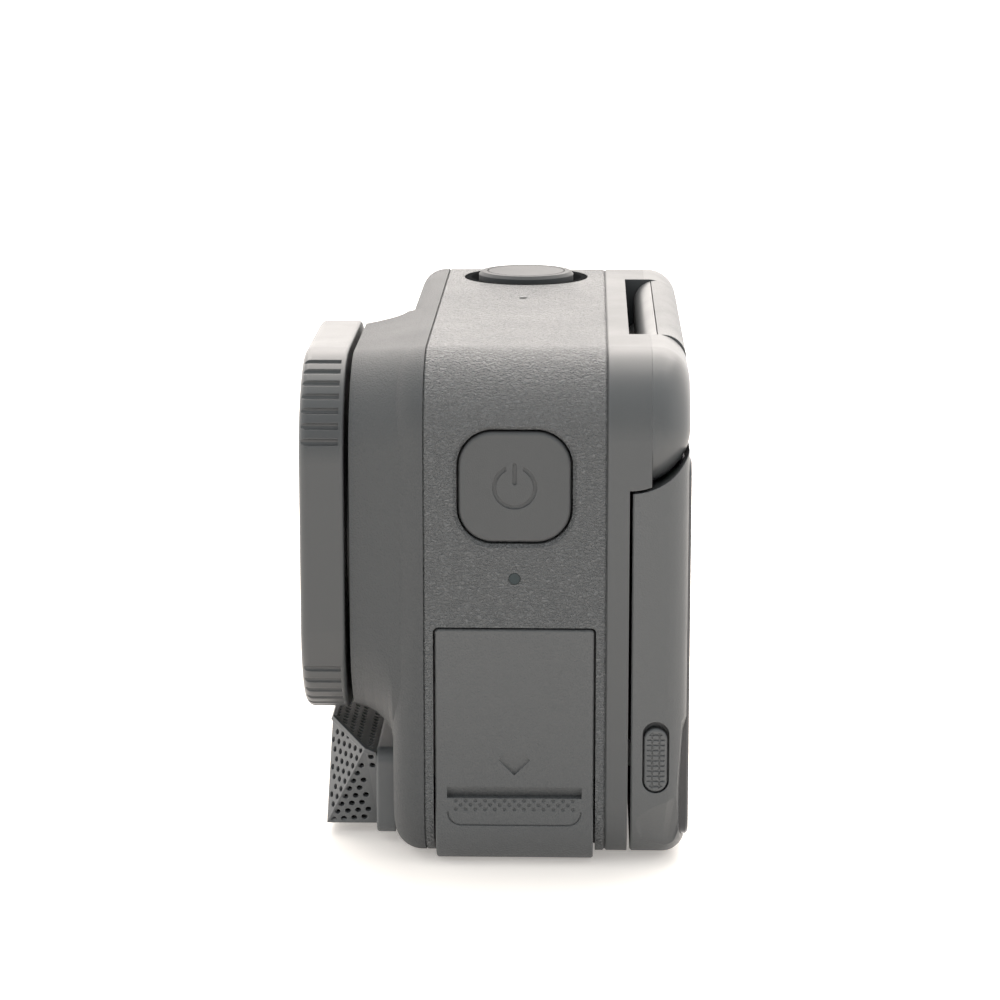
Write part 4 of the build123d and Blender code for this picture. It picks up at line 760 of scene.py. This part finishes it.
cover = bpy.data.objects.new("wind_guard_mesh", cover_mesh)
bpy.context.scene.collection.objects.link(cover)
cover_mesh.materials.append(guard_paint)
wall = cover.modifiers.new("wall", "SOLIDIFY")
wall.thickness = SHELL_THICKNESS
wall.offset = -1.0
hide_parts("wind_guard_cover")
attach(cover, "wind_guard")

blanks = bmesh.new()
for end_side in (-1, 1):
    block = bmesh.ops.create_cube(blanks, size=1.0)["verts"]
    bmesh.ops.scale(blanks, vec=BLANK_SIZE, verts=block)
    spot = (middle + end_side * (reach - BLANK_SETBACK), cover_high.y + BLANK_DEPTH, BLANK_HEIGHT)
    bmesh.ops.translate(blanks, vec=spot, verts=block)
blank_mesh = bpy.data.meshes.new("wind_guard_blanks")
blanks.to_mesh(blank_mesh)
blanks.free()
blank_mesh.materials.append(guard_paint)
plates = bpy.data.objects.new("wind_guard_blanks", blank_mesh)
bpy.context.scene.collection.objects.link(plates)
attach(plates, "wind_guard")

# Buttons and light: the shutter button in its black cup, the fine-grained power button and the
# tiny smoked light pipe under it. All are moulded and held from inside.
dress(
    moulded("shutter_cup", shade(CHARCOAL, 0.20), 0.60, grain_size=0.00009, depth=0.003, specular=0.0),
    "shutter_ring",
)
# Painted shade: the shutter cap's colour is darkened to 0.75 of the charcoal to stand in for the shade of its
# dished top.
dress(
    moulded("shutter_cap", shade(CHARCOAL, 0.75), 0.50, grain_size=0.00009, depth=0.003, specular=0.25),
    "shutter_button",
)
dress(
    moulded("power_cap", shade(CHARCOAL, 0.76), 0.52, grain_size=0.00014, depth=0.02),
    "power_button",
)
dress(
    pane("smoked_light_pipe", (0.022, 0.030, 0.032, 1.0), 0.22, 0.2, (1.0, 1.0, 1.0, 1.0)),
    "status_light",
)

# Doors: the connector door with its thumb ledge and arrow, and the battery door with its
# ribbed latch, both moulded. Each has a silicone seal pressed into a groove behind it.
dress(
    moulded(
        "connector_door",
        shade(CHARCOAL, 1.0),
        0.47,
        grain_size=0.00022,
        depth=0.10,
        sheen=0.05,
        edge_light=1.25,
    ),
    "usb_door",
)
dress(
    moulded("battery_door", shade(CHARCOAL, 1.06), 0.47, grain_size=0.00022, depth=0.10, sheen=0.05),
    "battery_door",
)
dress(
    moulded("battery_latch", shade(CHARCOAL, 0.9), 0.42, grain_size=0.0001, depth=0.004),
    "battery_latch",
)
dress(
    moulded(
        "silicone_seal",
        (0.42, 0.10, 0.06, 1.0),
        0.58,
        grain_size=0.0001,
        depth=0.004,
        edge_light=1.15,
        sheen=0.1,
    ),
    "usb_door_seal",
    "battery_door_seal",
)

# Metal: plated steel pins and sockets, blackened screws, the coated mount plate with its nickel
# magnets, the pressed heat spreader and the gold-plated contacts.
dress(
    moulded(
        "plated_steel",
        (0.48, 0.48, 0.49, 1.0),
        0.30,
        grain_size=0.00005,
        depth=0.002,
        metallic=1.0,
        edge_light=1.3,
    ),
    "hinge_pins",
    "usb_hinge_pin",
    "battery_door_pin",
    "usb_port",
    "card_socket",
)
dress(
    moulded(
        "blackened_steel",
        (0.045, 0.045, 0.047, 1.0),
        0.36,
        grain_size=0.00005,
        depth=0.002,
        metallic=1.0,
        edge_light=3.0,
    ),
    "housing_screws",
    "mount_screws",
)
dress(
    moulded(
        "mount_plate_coat",
        (0.055, 0.056, 0.058, 1.0),
        0.45,
        grain_size=0.0001,
        depth=0.006,
        metallic=0.7,
        edge_light=2.5,
    ),
    "mount_plate",
)
dress(
    moulded(
        "pressed_aluminium",
        (0.60, 0.61, 0.62, 1.0),
        0.38,
        grain_size=0.0002,
        depth=0.004,
        metallic=1.0,
        edge_light=1.2,
    ),
    "heat_spreader",
)
dress(
    moulded(
        "nickel_magnet",
        (0.62, 0.60, 0.57, 1.0),
        0.22,
        grain_size=0.00008,
        depth=0.001,
        metallic=1.0,
        edge_light=1.2,
    ),
    "mount_magnets",
)
dress(
    moulded(
        "gold_contacts",
        (0.78, 0.56, 0.20, 1.0),
        0.28,
        grain_size=0.00008,
        depth=0.001,
        metallic=1.0,
        edge_light=1.2,
    ),
    "battery_contacts",
)

# Inside: circuit boards in green solder mask, moulded chips, switches, microphones, the
# speaker, the battery in its sleeve, the memory card and the sealed connector bay.
dress(
    moulded(
        "solder_mask",
        (0.012, 0.085, 0.040, 1.0),
        0.32,
        grain=leather,
        grain_size=0.0009,
        depth=0.02,
        edge_light=1.8,
    ),
    "main_board",
    "sensor_board",
    "top_board",
    "button_board",
)
dress(
    moulded("moulded_chip", (0.022, 0.022, 0.024, 1.0), 0.50, grain_size=0.0001, depth=0.006),
    "board_chips",
    "speaker",
    "front_microphone",
    "top_microphone",
    "shutter_switch",
    "power_switch",
    "memory_card",
)
dress(
    moulded("battery_case", (0.05, 0.05, 0.054, 1.0), 0.42, grain_size=0.00016, depth=0.006),
    "battery_pack",
)
dress(
    moulded("inner_plastic", (0.030, 0.031, 0.033, 1.0), 0.46, grain_size=0.00014, depth=0.008),
    "battery_sleeve",
    "port_bay",
    "usb_carrier",
)
